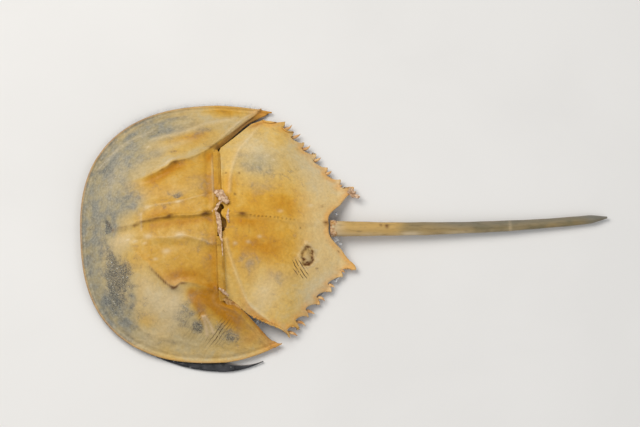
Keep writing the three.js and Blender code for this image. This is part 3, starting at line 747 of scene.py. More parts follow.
def front_masks(f):
    x, y, right = f.x, f.y, f.right
    amber, haze, speck, pale, scratch = (
        spots(x, y, FRONT_SPOTS[key]) for key in ("amber", "haze", "speck", "pale", "scratch")
    )
    inside_crest = ease(-f.crest[1], -0.4, 0.8) * ease(x, -34, -18)
    amber += 0.15 + 0.41 * inside_crest
    amber += 0.12 * bell(x + 1.6, 1.8) * ease(np.abs(y), 26, 20) + 0.7 * bell(beside(x, y, CLAW_ARM)[0], 1.5)

    # A band of painted see-through shade inside the rim, weaker near the right rim.
    streak = rough(f.from_rim, 0.12 * np.arctan2(y, -x) * CARAPACE_HALF, 2.2, 51)
    behind = np.where(right, ease(-x, -4, 22), ease(-x, 16, 34))
    haze += (1.0 + 0.35 * streak) * ease(f.inward, 0.36, 0.04) * behind
    haze -= 0.25 * bell(f.from_rim - 2.0, 1.4) * ease(y, 4, 22)

    fingers = sum(bell(beside(x, y, finger)[0], 0.5) for finger in CLAW_FINGERS)
    off_fingers = 1 - np.clip(fingers, 0, 1)
    speck += 0.22 * ease(f.from_rim, 18, 6) * ease(-x, 16, 36) + 0.3 * bell(f.left_fold[0], 0.6)
    wedge = ease(np.abs(y - 1.7), 2.6, 2.0) * ease(x, -36.3, -35.9)
    wedge = wedge * ease(x + 33.6 + 0.4 * np.abs(y - 0.6), 0.4, -0.4)
    speck = np.maximum(speck * (0.1 + 0.9 * off_fingers), 1.1 * wedge)

    pale += 0.5 * bell(x + 24.5, 0.35) * ease(y, -2.4, -1.6) * ease(y, 4, 3)
    for flake_x, flake_y, size in FRONT_FLAKES:
        pale += 0.7 * blob(x, y, (flake_x, flake_y), (size, 0.6 * size))
    pale += 0.22 * bell(f.lobe[0], 0.32) * ease(f.lobe[2], 0, 0.1)
    # A painted highlight along the lit side of the right eye crest.
    pale += 0.85 * bell(f.crest[1] - 0.9, 0.6) * np.where(right, bell(f.crest[2] - 0.42, 0.16), 0)
    pale += 0.3 * bell(f.margin_fold[1], 0.7) + 0.42 * bell(f.genal_fold[1], 0.9) + 0.95 * fingers
    pale += 0.5 * bell(f.margin[0] - 2.2, 0.6) * np.where(right, ease(f.margin[2], 0.1, 0.4), 0.2)
    pale += 0.35 * bell(x + 1.2, 0.4) * ease(np.abs(y), 24, 18) * ease(y, 4, 9)

    # A brown line beside the keel, partly a painted shadow along the keel's shaded side.
    keel_line_and_shadow = 0.8 * bell(f.keel[1] + 0.35, 0.36) * ease(f.keel[2], 0, 0.03)
    right_crest = 0.5 * bell(f.crest[1] + 0.3, 0.24) * ease(f.crest[2], 0.12, 0.3)
    left_crest = bell(f.crest[1], 0.38) * ease(f.crest[2], 0.02, 0.2) * ease(f.crest[2], 1.0, 0.5)
    brown = keel_line_and_shadow * (1 - 0.6 * ease(f.keel[2], 0.55, 0.7)) + np.where(right, right_crest, left_crest)
    brown += 0.45 * bell(beside(x, y, WEDGE_EDGE)[0], 0.22)
    for stain_x, stain_y, size, strength in FRONT_STAINS:
        brown += strength * blob(x, y, (stain_x, stain_y), (size, 0.55 * size), 10)
    brown = np.clip(brown * (0.75 + 0.5 * rough(x, y, 1.1, 61, 2)), 0, 0.92)
    # A brown band on the rolled inner face of each genal spine, partly painted shade in the slit beside it.
    rolled = np.where(right, 1.6, 1.1)
    face = ease(f.margin[0], rolled, rolled * 0.45) * ease(f.margin[2], 0.0, 0.08)
    brown = np.maximum(brown, face * np.where(right, 0.62, 0.3) * (1 - ease(f.margin[2], 0.62, 0.85)))

    scratch = scratch * ease(rough(x, y, 2.4, 71), -0.4, 0.5) * off_fingers
    corner = 0.6 * face * np.where(right, 0.5, 1) + 0.4 * blob(x, y, (10, -35), (5, 2), 30)
    rim = 0.4 * ease(f.from_rim, 0.75, 0.25)
    orange = np.maximum.reduce([rim, 0.2 * fingers, 0.75 * ease(x, 9, 17), corner])
    return named_masks(amber, haze, speck, pale, brown, orange, scratch)


def front_shield():
    plan = front_plan(360, 126)
    features = FrontFeatures(plan)
    outer = np.dstack([plan, front_height(features)])
    masks = front_masks(features)
    make_shell("front_shield", fore, outer, WALL, FRONT_CUTICLE, "carapace", masks)


# ---- the rear shield ----

def tooth_root(k):
    share = (k / (TOOTH_COUNT - 1)) ** TOOTH_CROWDING
    return FIRST_ROOT + (LAST_ROOT - FIRST_ROOT) * share


def bowed(start, end, bow, count):
    """Points from start towards end on a line bowed to its right, the end left out."""
    start, end = np.array(start, float), np.array(end, float)
    t = np.arange(count)[:, None] / count
    step = end - start
    return start + step * t + np.array([step[1], -step[0]]) * bow * 4 * t * (1 - t)


SHOULDERS = {1: [[14.9, 36.2], [15.5, 35.2], [17.6, 34.9]], -1: [[16.5, 31.8], [17.6, 32.3], [19.2, 33.0]]}
HINGE_END = [1.0, 23.6]
FLANK_FRONTS = {1: [HINGE_END, [1.5, 25.3], [11.3, 35.0]], -1: [HINGE_END, [3.5, 24.8], [9.0, 29.0]]}
HALF_COLUMNS = 150


def flank_outline(side):
    """Half of the outline from the shoulder past the teeth to the tail notch, as a dense line."""
    corners = [(point, 0, 5) for point in SHOULDERS[side]]
    for k in range(TOOTH_COUNT):
        root = tooth_root(k)
        length = 1.0 + 0.12 * math.sin(2.4 * k + side)
        corners += [(root + TOOTH_TIP * length, -0.16, 5), (root, 0.1, 5)]
        if k < TOOTH_COUNT - 1:
            corners.append((root + TOOTH_VALLEY, 0.1, 8))
    corners += [([41.3, 13.5], -0.06, 5), (TERMINAL, -0.12, 5), ([41.6, 10.9], 0.03, 5)]
    corners += [([38.9, 7.3], 0.03, 5), ([BODY_LENGTH, NOTCH_HALF], 0.1, 7), ([BODY_LENGTH - 0.4, 0], 0, 0)]
    ends = [corner for corner, _, _ in corners[1:]]
    pieces = [bowed(start, end, bow, count) for (start, bow, count), end in zip(corners, ends)]
    return np.vstack([*pieces, [ends[-1]]])


OUTLINES = {side: flank_outline(side) for side in (1, -1)}
CREASES = {
    1: smooth_line([[14.2, 34.6], [10.1, 28.5], [7.5, 25.0], [5.9, 20.9], [4.4, 15.6], [3.8, 9]]),
    -1: smooth_line([[2.4, 7], [3.0, 10.5], [6, 19.3], [9.2, 26.2], [14.9, 30.5], [16.4, 31.7]]),
}
# The front edge is torn back at two places beside the axis: distance from it, depth and breadth.
TEARS = [(3.6, 1.5, 1.5), (-1.9, 2.2, 2.5)]
WOUND, WOUND_RADII, WOUND_TURN = (28.0, -10.6), (1.65, 2.4), math.radians(14)


def rear_plan(rows):
    """The rear shield from above. Inward of its edge the grid follows an outline without teeth."""
    t = np.linspace(0, 1, HALF_COLUMNS + 1)
    share = crowded(np.linspace(0, 1, rows + 1), 0.4)[None, :, None]
    halves = {}
    for side in (1, -1):
        outline = OUTLINES[side][::-1] * [1, side]
        rear = at_share(outline, t)
        rear[-1] = at_share(outline, np.array([0.998]))[0]
        hinge = np.array([[GAP + 0.3, 0], HINGE_END]) * [1, side]
        flank = np.array([*FLANK_FRONTS[side], SHOULDERS[side][0]]) * [1, side]
        beyond = at_share(flank, (t - 0.5) / 0.5 * 0.995)
        front = np.where((t < 0.5)[:, None], at_share(hinge, t / 0.5), beyond)
        for centre, depth, breadth in TEARS:
            front[:, 0] += depth * np.exp(-np.abs((front[:, 1] - centre) / breadth) ** 3) * (t < 0.5)
        eased = rear
        for _ in range(3):
            padded = np.pad(eased, ((4, 4), (0, 0)), mode="reflect", reflect_type="odd")
            eased = np.mean([padded[k:k + len(rear)] for k in range(9)], axis=0)
        inner = front[:, None] * (1 - share) + eased[:, None] * share
        halves[side] = inner + (rear - eased)[:, None] * share ** 14
    return np.concatenate([halves[-1][:0:-1], halves[1]])


def body_height(x, y):
    crest = BODY_RIDGE - 0.23 * x - 0.0044 * x * x
    flank = np.maximum(63.7 - 1.28 * x, 14.8)
    breadth = -1.5 * np.log(np.exp(-BODY_BREADTH / 1.5) + np.exp(-flank / 1.5))
    aside = np.clip(np.abs(y) / breadth, 0, 1)
    return BODY_EDGE + np.maximum(crest - BODY_EDGE, 0.4) * (1 - aside ** 1.9)


class RearFeatures(Features):
    def __init__(self, plan):
        super().__init__(plan)
        self.edge, self.crease = self.pick(OUTLINES)[0], self.pick(CREASES)
        c, s = math.cos(WOUND_TURN), math.sin(WOUND_TURN)
        dx, dy = self.x - WOUND[0], self.y - WOUND[1]
        ring = np.hypot((dx * c - dy * s) / WOUND_RADII[0], (dx * s + dy * c) / WOUND_RADII[1])
        self.wound = ring * (1 + 0.2 * rough(self.x, self.y, 1.2, 151))
        self.wound_angle = np.arctan2(dy, dx)


REAR_SPOTS = {
    "bumps": [(0.75, 7.6, 1.2, 1.5, 0.8), (0.5, 34.4, 0.4, 1.2, 0.8), (-0.5, 29.2, -9.6, 0.9, 1.2)],
    "amber": [
        (0.35, 9, -1.2, 5, 1.6), (0.35, 35.6, -0.5, 1.6, 3), (0.3, 14, -9, 8, 3.5), (0.25, 4, 10, 2, 5),
        (0.2, 22, 6, 7, 5), (-0.2, 14, 23, 8, 7), (-0.12, 14, -24, 6, 5),
    ],
    # Spots of painted see-through shade.
    "haze": [
        (0.75, 13, 19, 8, 6), (0.35, 14, 11, 8, 3), (0.45, 10, -13, 5, 4), (0.4, 19, -18, 7, 4),
        (0.25, 5, -3.4, 2, 2.4),
    ],
    "speck": [(0.28, 5.4, -13.4, 1.2, 1.0), (0.2, 24, 16, 6, 6)],
    "pale": [(0.3, 11, 25, 4, 4), (0.5, 14, -23, 6, 4, 60), (0.35, 28, -11.4, 1.2, 1.6)],
    "brown": [
        (0.95, 7.6, 1.25, 1.4, 0.7), (0.9, 34.2, 0.5, 1.0, 0.7), (0.35, 12.6, 34.2, 2.6, 0.8, 25),
        (0.9, 27.2, -11.6, 0.4, 0.3), (0.9, 28.0, -12.4, 0.4, 0.3), (0.9, 28.3, -13.2, 0.4, 0.3),
    ],
}
REAR_FLAKES = [(19.8, 3.1), (5.2, -8.0), (9.4, -7.4), (13.0, -5.6), (18, 21), (16, 22.5), (29.5, 6)]
REAR_DOTS = [
    (7.0, 15.7, 0.4), (2.8, 15.7, 0.35), (5.5, 8.1, 0.4), (33.2, 6.2, 0.4), (38, -8, 0.3), (26, -2, 0.3),
    (31, -14, 0.3),
]


def rear_height(f):
    x, y = f.x, f.y
    z = body_height(x, y)
    keel_y = 1.2 * ease(x, 26, 6)
    z += (0.55 * bell(y - keel_y, 0.7) + 0.35 * bell(y, 2.4)) * ease(x, 1, 4)
    z += spots(x, y, REAR_SPOTS["bumps"])
    z += 0.35 * ease(np.abs(y), 9.5, 5.5) * ease(x, 36, 20)
    for k in range(6):
        for side in (1, -1):
            z -= 0.28 * blob(x, y, (6.0 + 4.2 * k, side * (8.4 - 0.5 * k)), (0.7, 0.9))
    distance, offset, _ = f.crease
    outside = np.where(f.right, offset < 0, offset > 0)
    drop = 0.7 * ease(distance, 0, 2.5) * ease(distance, 7, 4) * ease(f.edge, 0, 2)
    z += 0.34 * bell(distance, 0.55) - np.where(outside, drop, 0)
    z += 0.3 * bell(x - 1.5, 0.5) * ease(np.abs(y), 23, 16)
    z += 0.12 * bell(f.edge - 0.4, 0.4)
    z -= 0.5 * bell(f.wound - 1, 0.22) - 0.3 * bell(f.wound - 1.35, 0.2) - 0.2 * bell(f.wound, 0.5)
    wrinkle = 0.12 * rough(x, y, 5.5, 121) + 0.045 * rough(x, y, 1.5, 131) + 0.03 * rough(x, y, 0.7, 137, 2)
    return z + wrinkle * ease(f.edge, 0, 2)


def rear_masks(f):
    x, y = f.x, f.y
    amber, haze, speck, pale, brown = (
        spots(x, y, REAR_SPOTS[key]) for key in ("amber", "haze", "speck", "pale", "brown")
    )
    amber += 0.28 + 0.34 * ease(np.abs(y + 2), 24, 6) - 0.3 * ease(x, 20, 32)

    pale += 0.42 * ease(x, 22, 33) + 0.3 * bell(f.crease[0], 0.65) + 0.35 * bell(f.wound - 1.6, 0.3)
    pale += 0.55 * sum(blob(x, y, flake, (0.7, 0.5)) for flake in REAR_FLAKES)
    pale += 0.5 * bell(x - 1.1, 0.4) * ease(np.abs(y), 24, 20) * ease(-y, 4, 7)

    dotted = 0.85 * bell(y - 1.0 + 0.035 * (x - 10), 0.26) * ease(np.sin(2 * np.pi * x / 1.25), -0.2, 0.6)
    brown += dotted * ease(x, 9.6, 10.4) * ease(x, 27, 21)
    brown += 0.75 * sum(blob(x, y, (dot_x, dot_y), (size, size)) for dot_x, dot_y, size in REAR_DOTS)
    brown += 0.35 * bell(x - 9.7, 0.2) * ease(y, -5, -4.2) * ease(y, -1.6, -2.2)
    streaks = np.clip(0.8 + 0.7 * rough(x, y, 0.9, 161, 2), 0, 1.3)
    ring = 1.15 * bell(f.wound - 1, 0.24) * (0.6 + 0.5 * np.cos(f.wound_angle - 0.5) ** 2)
    brown += (ring + blob(x, y, (29.3, -9.2), (1.1, 1.3))) * streaks + 0.2 * bell(f.wound, 0.8)

    scratch = 1.2 * ease(blob(x, y, (25.6, -14.8), (3.4, 2.0), -52), 0.3, 0.5)
    rim = 0.55 * ease(f.edge, 2.4, 0.4) * ease(x, 8, 15) * (0.8 + 0.5 * rough(x, y, 2.4, 171))
    band = 0.6 * np.where(f.right, 0, ease(f.crease[1], -0.2, 0.6)) * ease(x, 5, 11)
    orange = np.maximum.reduce([rim, band, 0.75 * blob(x, y, (13.4, 34.8), (3.2, 1.2), 20)])
    return named_masks(amber, haze, speck, pale, brown, orange, scratch)


def rear_shield():
    plan = rear_plan(104)
    features = RearFeatures(plan)
    outer = np.dstack([plan, rear_height(features)])
    masks = rear_masks(features)
    make_shell("rear_shield", hind, outer, WALL, REAR_CUTICLE, "opisthosoma", masks)


# ---- the band under the rim ----

def doublure():
    """The ventral band. Towards its left end (u = -1) it has sprung loose, out past the rim."""
    u, v = grid(300, 22)
    u = 0.992 * u
    rim = rim_point(u)
    taper = 1 - 0.93 * ease(np.abs(u), 0.62, 1)
    loose = ease(-u, 0.5, 1)
    toward = unit(np.stack([-6 - rim[..., 0], -rim[..., 1] * 0.55], -1))
    breadth = SUTURE_WIDTH * taper + 6.5 * np.maximum(0, 1 - np.abs(u) / 0.16)
    plan = rim + toward * (0.5 * (1 - v) + breadth * v)[..., None]
    plan += np.stack([LOOSE_X * loose ** 1.5, LOOSE_Y * loose], -1)
    lift = DOUBLURE_LIFT * taper * (1 - loose) * np.clip((v - 0.4) / 0.6, 0, 1) ** 1.6
    wave = 0.05 * rough(plan[..., 0], plan[..., 1], 2.5, 201)
    base, swell = 0.72, 0.3
    outer = np.dstack([plan, base + lift + swell * np.sin(np.pi * v) * taper + np.abs(wave)])
    # Paler along the loose end's inner edge, a painted highlight, and paler towards the front middle.
    pale = 0.75 * ease(v, 0.7, 1) * ease(loose, 0.1, 0.5) + 0.4 * ease(np.abs(u), 0.55, 0.2)
    make_shell("rim_band", fore, outer, 0.6, FILM, "ventral_rim", {"pale": pale}, 0.15)


# ---- tail ----

def tail_line(s, sag):
    """The middle of the tail at shares s of its length."""
    return np.stack([TAIL_LENGTH * s, TAIL_BEND * s ** 2.2 - sag, -TAIL_DROP * s ** 0.8], -1)


def tail_profile(s, angle):
    """Half widths across and up the tail, as shares of its width: keeled and grooved above."""
    across = 0.5 * np.sign(np.cos(angle)) * np.abs(np.cos(angle)) ** 0.85
    above = np.sin(angle) > 0
    height = np.abs(np.sin(angle))
    up = np.where(above, 0.44 * height ** 1.25, -0.36 * height ** 0.7)
    up += above * (0.05 * bell(np.cos(angle), 0.16) - 0.045 * bell(np.abs(np.cos(angle)) - 0.6, 0.16))
    serration = 0.02 * np.maximum(np.sin(2 * np.pi * TAIL_LENGTH * s / 1.9), 0) * ease(s, 0.6, 0.05)
    return across, up + serration[:, None] * bell(np.cos(angle), 0.2) * above


def tail_masks(along, side, above):
    """Masks from the distance along the tail, the place across it (-1 to 1) and what faces up."""
    amber = 0.95 * ease(along, 26, 17) + 0.3 * ease(along, 60, 30) + 0.15 * rough(along, 9 * side, 5, 301)
    # Painted light: tan along the lower edge is a painted highlight and brown along the upper edge a painted
    # shadow, one side lit and the other shaded.
    lower = ease(-side, 0.3, 0.9)
    lower_edge = 0.5 * ease(along, 70, 40) * (0.7 + 0.5 * rough(along, side, 3, 311))
    pale = 0.75 * ease(along, 6, 0) + 0.5 * bell(along - 57, 0.5)
    pale += lower * (lower_edge + 0.95 * bell(along - 25.5, 2.6))
    haze = 0.6 * ease(along, 20, 40) * ease(side, -0.5, 0.4) + 0.7 * ease(along, 78, 86)
    brown = 0.6 * ease(side, 0.75, 0.95) * ease(along, 4, 10) * (0.7 + 0.6 * rough(along, side, 1.2, 321))
    for strength, pit_x, pit_side, size in ((1.1, 17.6, 0.2, 0.62), (0.9, 15.7, 0.35, 0.45)):
        brown += strength * bell(np.hypot(along - pit_x, 2.2 * (side - pit_side)), size)
    masks = {"amber": amber, "pale": pale * above, "haze": haze, "brown": brown}
    return {key: np.clip(values, 0, 1) for key, values in masks.items()}


def tail_spine():
    stations, sides = 200, 28
    s = np.linspace(0, 1, stations + 1)
    centre = tail_line(s, TAIL_SAG * (1 - s ** 5))
    width = TAIL_WIDTH * (1 - TAIL_TAPER * s) * (1 - 0.85 * ease(s, 0.93, 1.02))
    width = (width * (1 + 0.02 * np.sin(23 * s) + 0.012 * np.sin(61 * s)))[:, None]
    angle = around(sides)
    level, rise = level_and_rise(centre)
    across, up = tail_profile(s, angle)
    rings = centre[:, None] + level[:, None] * (width * across)[..., None]
    vertices, faces = rings_to_tube(rings + rise[:, None] * (width * up)[..., None])
    turn = np.tile(angle, stations + 1)
    masks = tail_masks(np.repeat(s, sides) * TAIL_LENGTH, np.cos(turn), np.sin(turn) > 0)
    make_piece("tail_spine", tail(vertices), faces, TAIL_CUTICLE, ["telson"], masks)


# ---- the movable spines ----

def spines():
    heading, rise = np.array([0.93, 0.36, -0.03]), BODY_EDGE - 0.1
    for name, side in SIDES:
        for k, length in enumerate(SPINE_LENGTHS):
            bend = np.array([0.05, -0.12, 0.0]) * length * (1 + 0.5 * math.sin(3 * k + side))
            root = np.array([*tooth_root(k), rise])
            points = [root + heading * t * length + bend * 4 * t * (1 - t) for t in (0.0, 0.35, 0.7, 1.0)]
            vertices, faces = tube(points, [0.42, 0.56, 0.36, 0.05])
            if side < 0:
                faces = [face[::-1] for face in faces]
            node = f"movable_spine_{name}_{k + 1}"
            piece = f"margin_spine_{name}_{k + 1}"
            make_piece(piece, hind(vertices * [1, side, 1]), faces, SPINE, [node])


front_shield()
rear_shield()
doublure()
tail_spine()
spines()


# ---- soft skin at the hinge and the tail ----

def ribbon(points, widths, seed):
    """A ragged strip along a line of (x, y, z) points, with a width at each."""
    columns, rows, ragged = 28, 8, 0.35
    along = np.linspace(0, 1, columns + 1)
    line = at_share(smooth_line(points), along)
    width = np.interp(along, np.linspace(0, 1, len(widths)), widths)
    across, _ = level_and_rise(line)
    v = np.linspace(1, -1, rows + 1)[None]
    edge = 1 + ragged * rough(np.arange(columns + 1)[:, None] * 1.0, np.sign(v) * 3.0, 2.2, seed)
    strip = line[:, None] + across[:, None] * (0.5 * width[:, None] * v * edge)[..., None]
    strip[..., 2] += (0.05 + 0.4 * ragged) * rough(strip[..., 0], strip[..., 1], 1.2, seed + 5)
    return closed_shell(strip, 0.12, bead=0.03)[:2]


def stacked(rows):
    """A list of dictionaries of arrays as one dictionary."""
    return {key: np.concatenate([row[key] for row in rows]) for key in rows[0]}


def hinge_fold():
    """The membrane between the shields. Beside the keel it is torn open, and its shreds lie there."""
    parts, masks = [], []
    end, held = HINGE_HALF + 0.7, HINGE_HALF - 0.9
    for low, high, sunk in ((-end, -5.7, 0), (5.1, end, 0), (-6.2, 5.6, 1.7)):
        y, x = grid(89, 20, (low, high), (-1.1, 1.5))
        near_end = ease(np.abs(y), held, end)
        x = x * (1 - 0.55 * near_end)
        if sunk:
            x = x * 1.9 + 0.5
        held_y = np.clip(y, -held, held)
        ahead = front_height(FrontFeatures(np.dstack([np.full(y.shape, -0.7), held_y])))
        after = body_height(np.full(y.shape, 1.0), held_y) + 0.3
        share = ease(x, -0.9, 1.1)
        z = ahead * (1 - share) + after * share + 0.06 - sunk + 0.07 * rough(x, y, 1.2, 401)
        z -= 1.1 * near_end + 0.5 * ease(x, 1.0, 1.5) + 0.5 * ease(x, -0.7, -1.1)
        line = bell(x - 0.85 + 0.1 * rough(y, y, 3, 411), 0.24) * (0.6 + 0.6 * rough(y, x, 2.2, 415))
        values = {key: np.zeros(x.shape) for key in CUTICLE_MASKS}
        values["amber"] += 0.7
        values["brown"] += np.clip(0.42 * line + 0.4 * (sunk > 0), 0, 0.9)
        vertices, faces, spread = closed_shell(np.dstack([x, y, z]), 0.25, values, 0.05)
        parts.append((vertices, faces))
        masks.append(spread)
    vertices, faces = joined(parts)
    masks = stacked(masks)
    make_piece("hinge_fold", fore(vertices), faces, HINGE_SKIN, ["hinge_membrane"], masks)


# Each torn strip: the points of its middle line, the widths along it, its amber and its seed.
SHREDS = [
    ([[-1.0, 9.4, 20.3], [0.6, 8.4, 20.8], [1.9, 7.0, 20.6], [3.4, 5.2, 20.1]],
     [0.8, 2.4, 2.6, 1.0], 0.15, 421),
    ([[1.5, 5.9, 20.9], [0.3, 4.6, 21.4], [-0.6, 3.0, 21.5], [-1.8, 2.2, 21.9]],
     [0.5, 0.8, 1.0, 0.5], 0.15, 422),
    ([[-1.4, 2.8, 21.7], [-0.6, 1.0, 21.5], [0.1, -1.4, 21.1], [0.4, -4, 20.7], [0.7, -7, 20.3]],
     [1.0, 2.1, 2.0, 1.2, 0.3], 0.15, 423),
    ([[3.4, 3.2, 20.3], [3.0, 0.6, 20.5], [3.4, -1.2, 20.2]], [0.3, 0.9, 0.4], 0.15, 424),
    ([[1.0, -6.4, 20.3], [0.9, -9, 20.0], [1.0, -12, 19.6]], [0.2, 0.4, 0.2], 0.15, 425),
    ([[-0.2, -23.2, 13.4], [2.2, -24.9, 11.7], [4.6, -26.5, 9.9], [7.0, -28.4, 8.7]],
     [1.0, 1.9, 1.6, 0.6], 0.75, 427),
    ([[-0.6, -21.4, 15.6], [1.0, -22.6, 14.6], [2.4, -23.6, 13.4]], [0.5, 1.1, 0.4], 0.15, 426),
]


def skin_masks(vertices, amber, brown, seed, cell):
    """A plain amber share, and brown that comes and goes up to the one given."""
    stain = np.clip(brown * rough(vertices[:, 0], vertices[:, 1], cell, seed), 0, brown)
    return {"amber": np.full(len(vertices), amber), "brown": stain}


def hinge_shreds():
    parts = [ribbon(points, widths, seed) for points, widths, _, seed in SHREDS]
    masks = [skin_masks(part[0], amber, 0.3, 431, 0.8) for part, (_, _, amber, _) in zip(parts, SHREDS)]
    vertices, faces = joined(parts)
    make_piece("hinge_shreds", fore(vertices), faces, MEMBRANE, masks=stacked(masks))


def socket_skin():
    """The wrinkled sleeve of skin round the root of the tail."""
    stations, sides = 48, 14
    turn, ring = np.meshgrid(around(stations), around(sides), indexing="ij")
    along = 1.1 * np.cos(ring)
    wrinkle = 0.22 * rough(along * 2, turn * 6 / np.pi, 1.0, 441) * np.sin(turn / 2)
    radius = 2.4 - 0.12 * along + 0.25 * np.sin(ring) + wrinkle
    y, z = radius * np.cos(turn) - TAIL_SAG, 0.82 * radius * np.sin(turn) + TAIL_Z
    sleeve = np.stack([BODY_LENGTH + 1.0 + along, y, z], -1)
    index = np.arange(stations * sides).reshape(stations, sides)
    right, below = np.roll(index, -1, 1), np.roll(index, -1, 0)
    faces = np.stack([index, below, np.roll(right, -1, 0), right], -1).reshape(-1, 4).tolist()
    amber = np.clip(0.4 + 0.4 * rough(along, turn * 2, 1.0, 451), 0.1, 0.8)
    masks = {"amber": amber, "brown": np.zeros(index.shape)}
    vertices = hind(sleeve.reshape(-1, 3))
    make_piece("socket_skin", vertices, faces, MEMBRANE, ["telson_membrane"], masks)


# ---- the underside ----

LEGS = ["pedipalp", "walking_leg_1", "walking_leg_2", "walking_leg_3", "pusher_leg"]
LEG_RADII = [1.15, 1.5, 1.4, 1.15, 1.0, 1.05]
LEG_JOINTS = [(1.5, 0.12), (2.5, 0.16), (3.5, 0.18), (4.4, 0.15)]


def make_limb(name, place, parts, node):
    vertices, faces = joined(parts)
    make_piece(name, place(vertices), faces, LIMB, [node])


def leg(name, side_name, side, place):
    """One leg, folded under the shell, with two fingers or, on the pusher leg, four spread plates."""
    turn = math.radians(34 - 17 * place)
    root_x = -20.5 + 4.6 * place
    length = 0.84 + 0.16 * float(ease(place, 0, 2))
    stout = 1 + 0.06 * place

    def at(out, z, sweep=0.0):
        x = root_x - math.sin(turn) * out * length + sweep
        return [x, side * (3.2 + math.cos(turn) * out * length), z]

    path = [at(-0.6, BELLY_Z - 1.6), at(2.6, BELLY_Z - 2.3), at(7.4, BELLY_Z - 2.2)]
    path += [at(12.4, 6.7), at(17, 6.2), at(21.2, 5.6)]
    parts = [tube(path, [radius * stout for radius in LEG_RADII], 18, 0.8, 10, LEG_JOINTS)]
    if name == "pusher_leg":
        for k in range(4):
            aside = k - 1.5
            tip = at(24.4 - 0.4 * k, 5.0 + 0.2 * k, 1.5 * aside)
            plate = [at(20.4, 5.6), at(22.6, 5.5, 0.8 * aside), tip]
            parts.append(tube(plate, [0.5, 0.8, 0.08], 10, 0.35))
    else:
        fixed = [at(20.4, 5.7), at(23.2, 5.5, -0.3), at(25.4, 4.9, 0.2)]
        moving = [at(20.2, 5.7, 0.5), at(22.8, 5.6, 1.3), at(25.0, 5.0, 1.0)]
        parts.append(tube(fixed, [0.85, 0.55, 0.07], 10, 0.7))
        parts.append(tube(moving, [0.6, 0.42, 0.06], 10, 0.7))
    make_limb(f"{name}_skin_{side_name}", fore, parts, f"{name}_{side_name}")


CHELICERA = np.array([[-25.0, 1.3, 6.4], [-23.6, 1.8, 6.5], [-21.8, 1.7, 6.1], [-19.6, 1.2, 5.4]])
CHELICERA_FINGER = np.array([[-21.9, 2.0, 6.0], [-19.8, 1.8, 5.5]])
CHILARIUM = np.array([[1.4, 1.7, 7.4], [2.6, 2.1, 6.7], [3.8, 2.2, 5.9], [4.9, 2.0, 5.0]])


def underside():
    for side_name, side in SIDES:
        for place, name in enumerate(LEGS):
            leg(name, side_name, side, place)
        mirror = [1, side, 1]
        claw = tube(CHELICERA * mirror, [0.7, 0.9, 0.72, 0.08], 14, 0.8, 8, [(1.3, 0.15)])
        finger = tube(CHELICERA_FINGER * mirror, [0.35, 0.06], 10)
        make_limb(f"mouth_claw_{side_name}", fore, [claw, finger], f"chelicera_{side_name}")
        plate = tube(CHILARIUM * mirror, [0.8, 1.05, 0.9, 0.2], 14, 0.6, 8)
        make_limb(f"chilarium_skin_{side_name}", hind, [plate], f"chilarium_{side_name}")


def gill_cover(name, node, place):
    """A broad flap, scalloped behind, with a notch at its middle and faint growth lines."""
    half, long, thickness = 15.5 - 1.2 * place, 8.2 - 0.35 * place, 0.35
    u, v = grid(100, 24)
    across = u * half * (0.82 + 0.14 * np.sin(np.pi * np.minimum(v, 0.9)))
    along = v * (long * (1 - np.abs(u) ** 4) ** 0.5 * (1 - 0.22 * bell(u, 0.09)) + 0.3)
    sag = 0.35 * np.sin(np.pi * v) + 0.25 * np.cos(3 * np.pi * u) * v + 0.08 * np.sin(22 * v) * v
    slope = math.radians(23)
    x = 6.2 + 4.0 * place + along * math.cos(slope)
    z = 7.7 - 0.55 * place - along * math.sin(slope) + 0.5 * sag - 0.25
    make_shell(name, hind, np.dstack([x, across, z]), thickness, GILL, node, bead=0.08)


def belly():
    gill_cover("operculum_skin", "genital_operculum", 0)
    for place in range(1, 6):
        gill_cover(f"gill_skin_{place}", f"gill_flap_{place}", place)
    u, v = grid(80, 80, v=(-1, 1))
    half_width, half_length, middle = 9.5, 13.5, -11.5
    y, x = half_width * u * np.sqrt(1 - v * v / 2), half_length * v * np.sqrt(1 - u * u / 2)
    z = BELLY_Z + 0.6 + 0.25 * rough(x, y, 3, 461) - 0.25 * bell(y, 1.2)
    masks = {"amber": np.full(x.shape, 0.5), "brown": 0.4 * bell(y, 0.8) * bell(x, 6)}
    plate = np.dstack([x + middle, y, z])
    make_shell("belly_skin", fore, plate, 0.5, MEMBRANE, "ventral_membrane", masks, 0.1)


# ---- hairs, scraps and grains ----

def strands(roots, headings, lengths, radius, seed, steps=4, sides=3):
    """Fine tapering hairs as one mesh, each bent a little its own way."""
    count = len(roots)
    headings = unit(headings)
    curl = np.random.default_rng(seed).normal(0, 0.22, (count, 3))
    t = np.linspace(0, 1, steps + 1)[None, :, None]
    length = lengths[:, None, None]
    line = roots[:, None] + headings[:, None] * length * t + curl[:, None] * length * t * t
    across = unit(np.cross(headings, [0.3, 0.2, 1.0]))[:, None]
    up = np.cross(headings[:, None], across)
    angle = around(sides)[None, :, None]
    spoke = across * np.cos(angle) + up * np.sin(angle)
    rings = line[:, :, None] + spoke[:, None] * radius * (1 - 0.85 * t[..., None])
    index = np.arange(count * (steps + 1) * sides).reshape(count, steps + 1, sides)
    beyond = np.roll(index, -1, 2)
    quads = np.stack([index[:, :-1], beyond[:, :-1], beyond[:, 1:], index[:, 1:]], -1).reshape(-1, 4).tolist()
    return rings.reshape(-1, 3), quads + index[:, 0, ::-1].tolist() + index[:, -1].tolist()


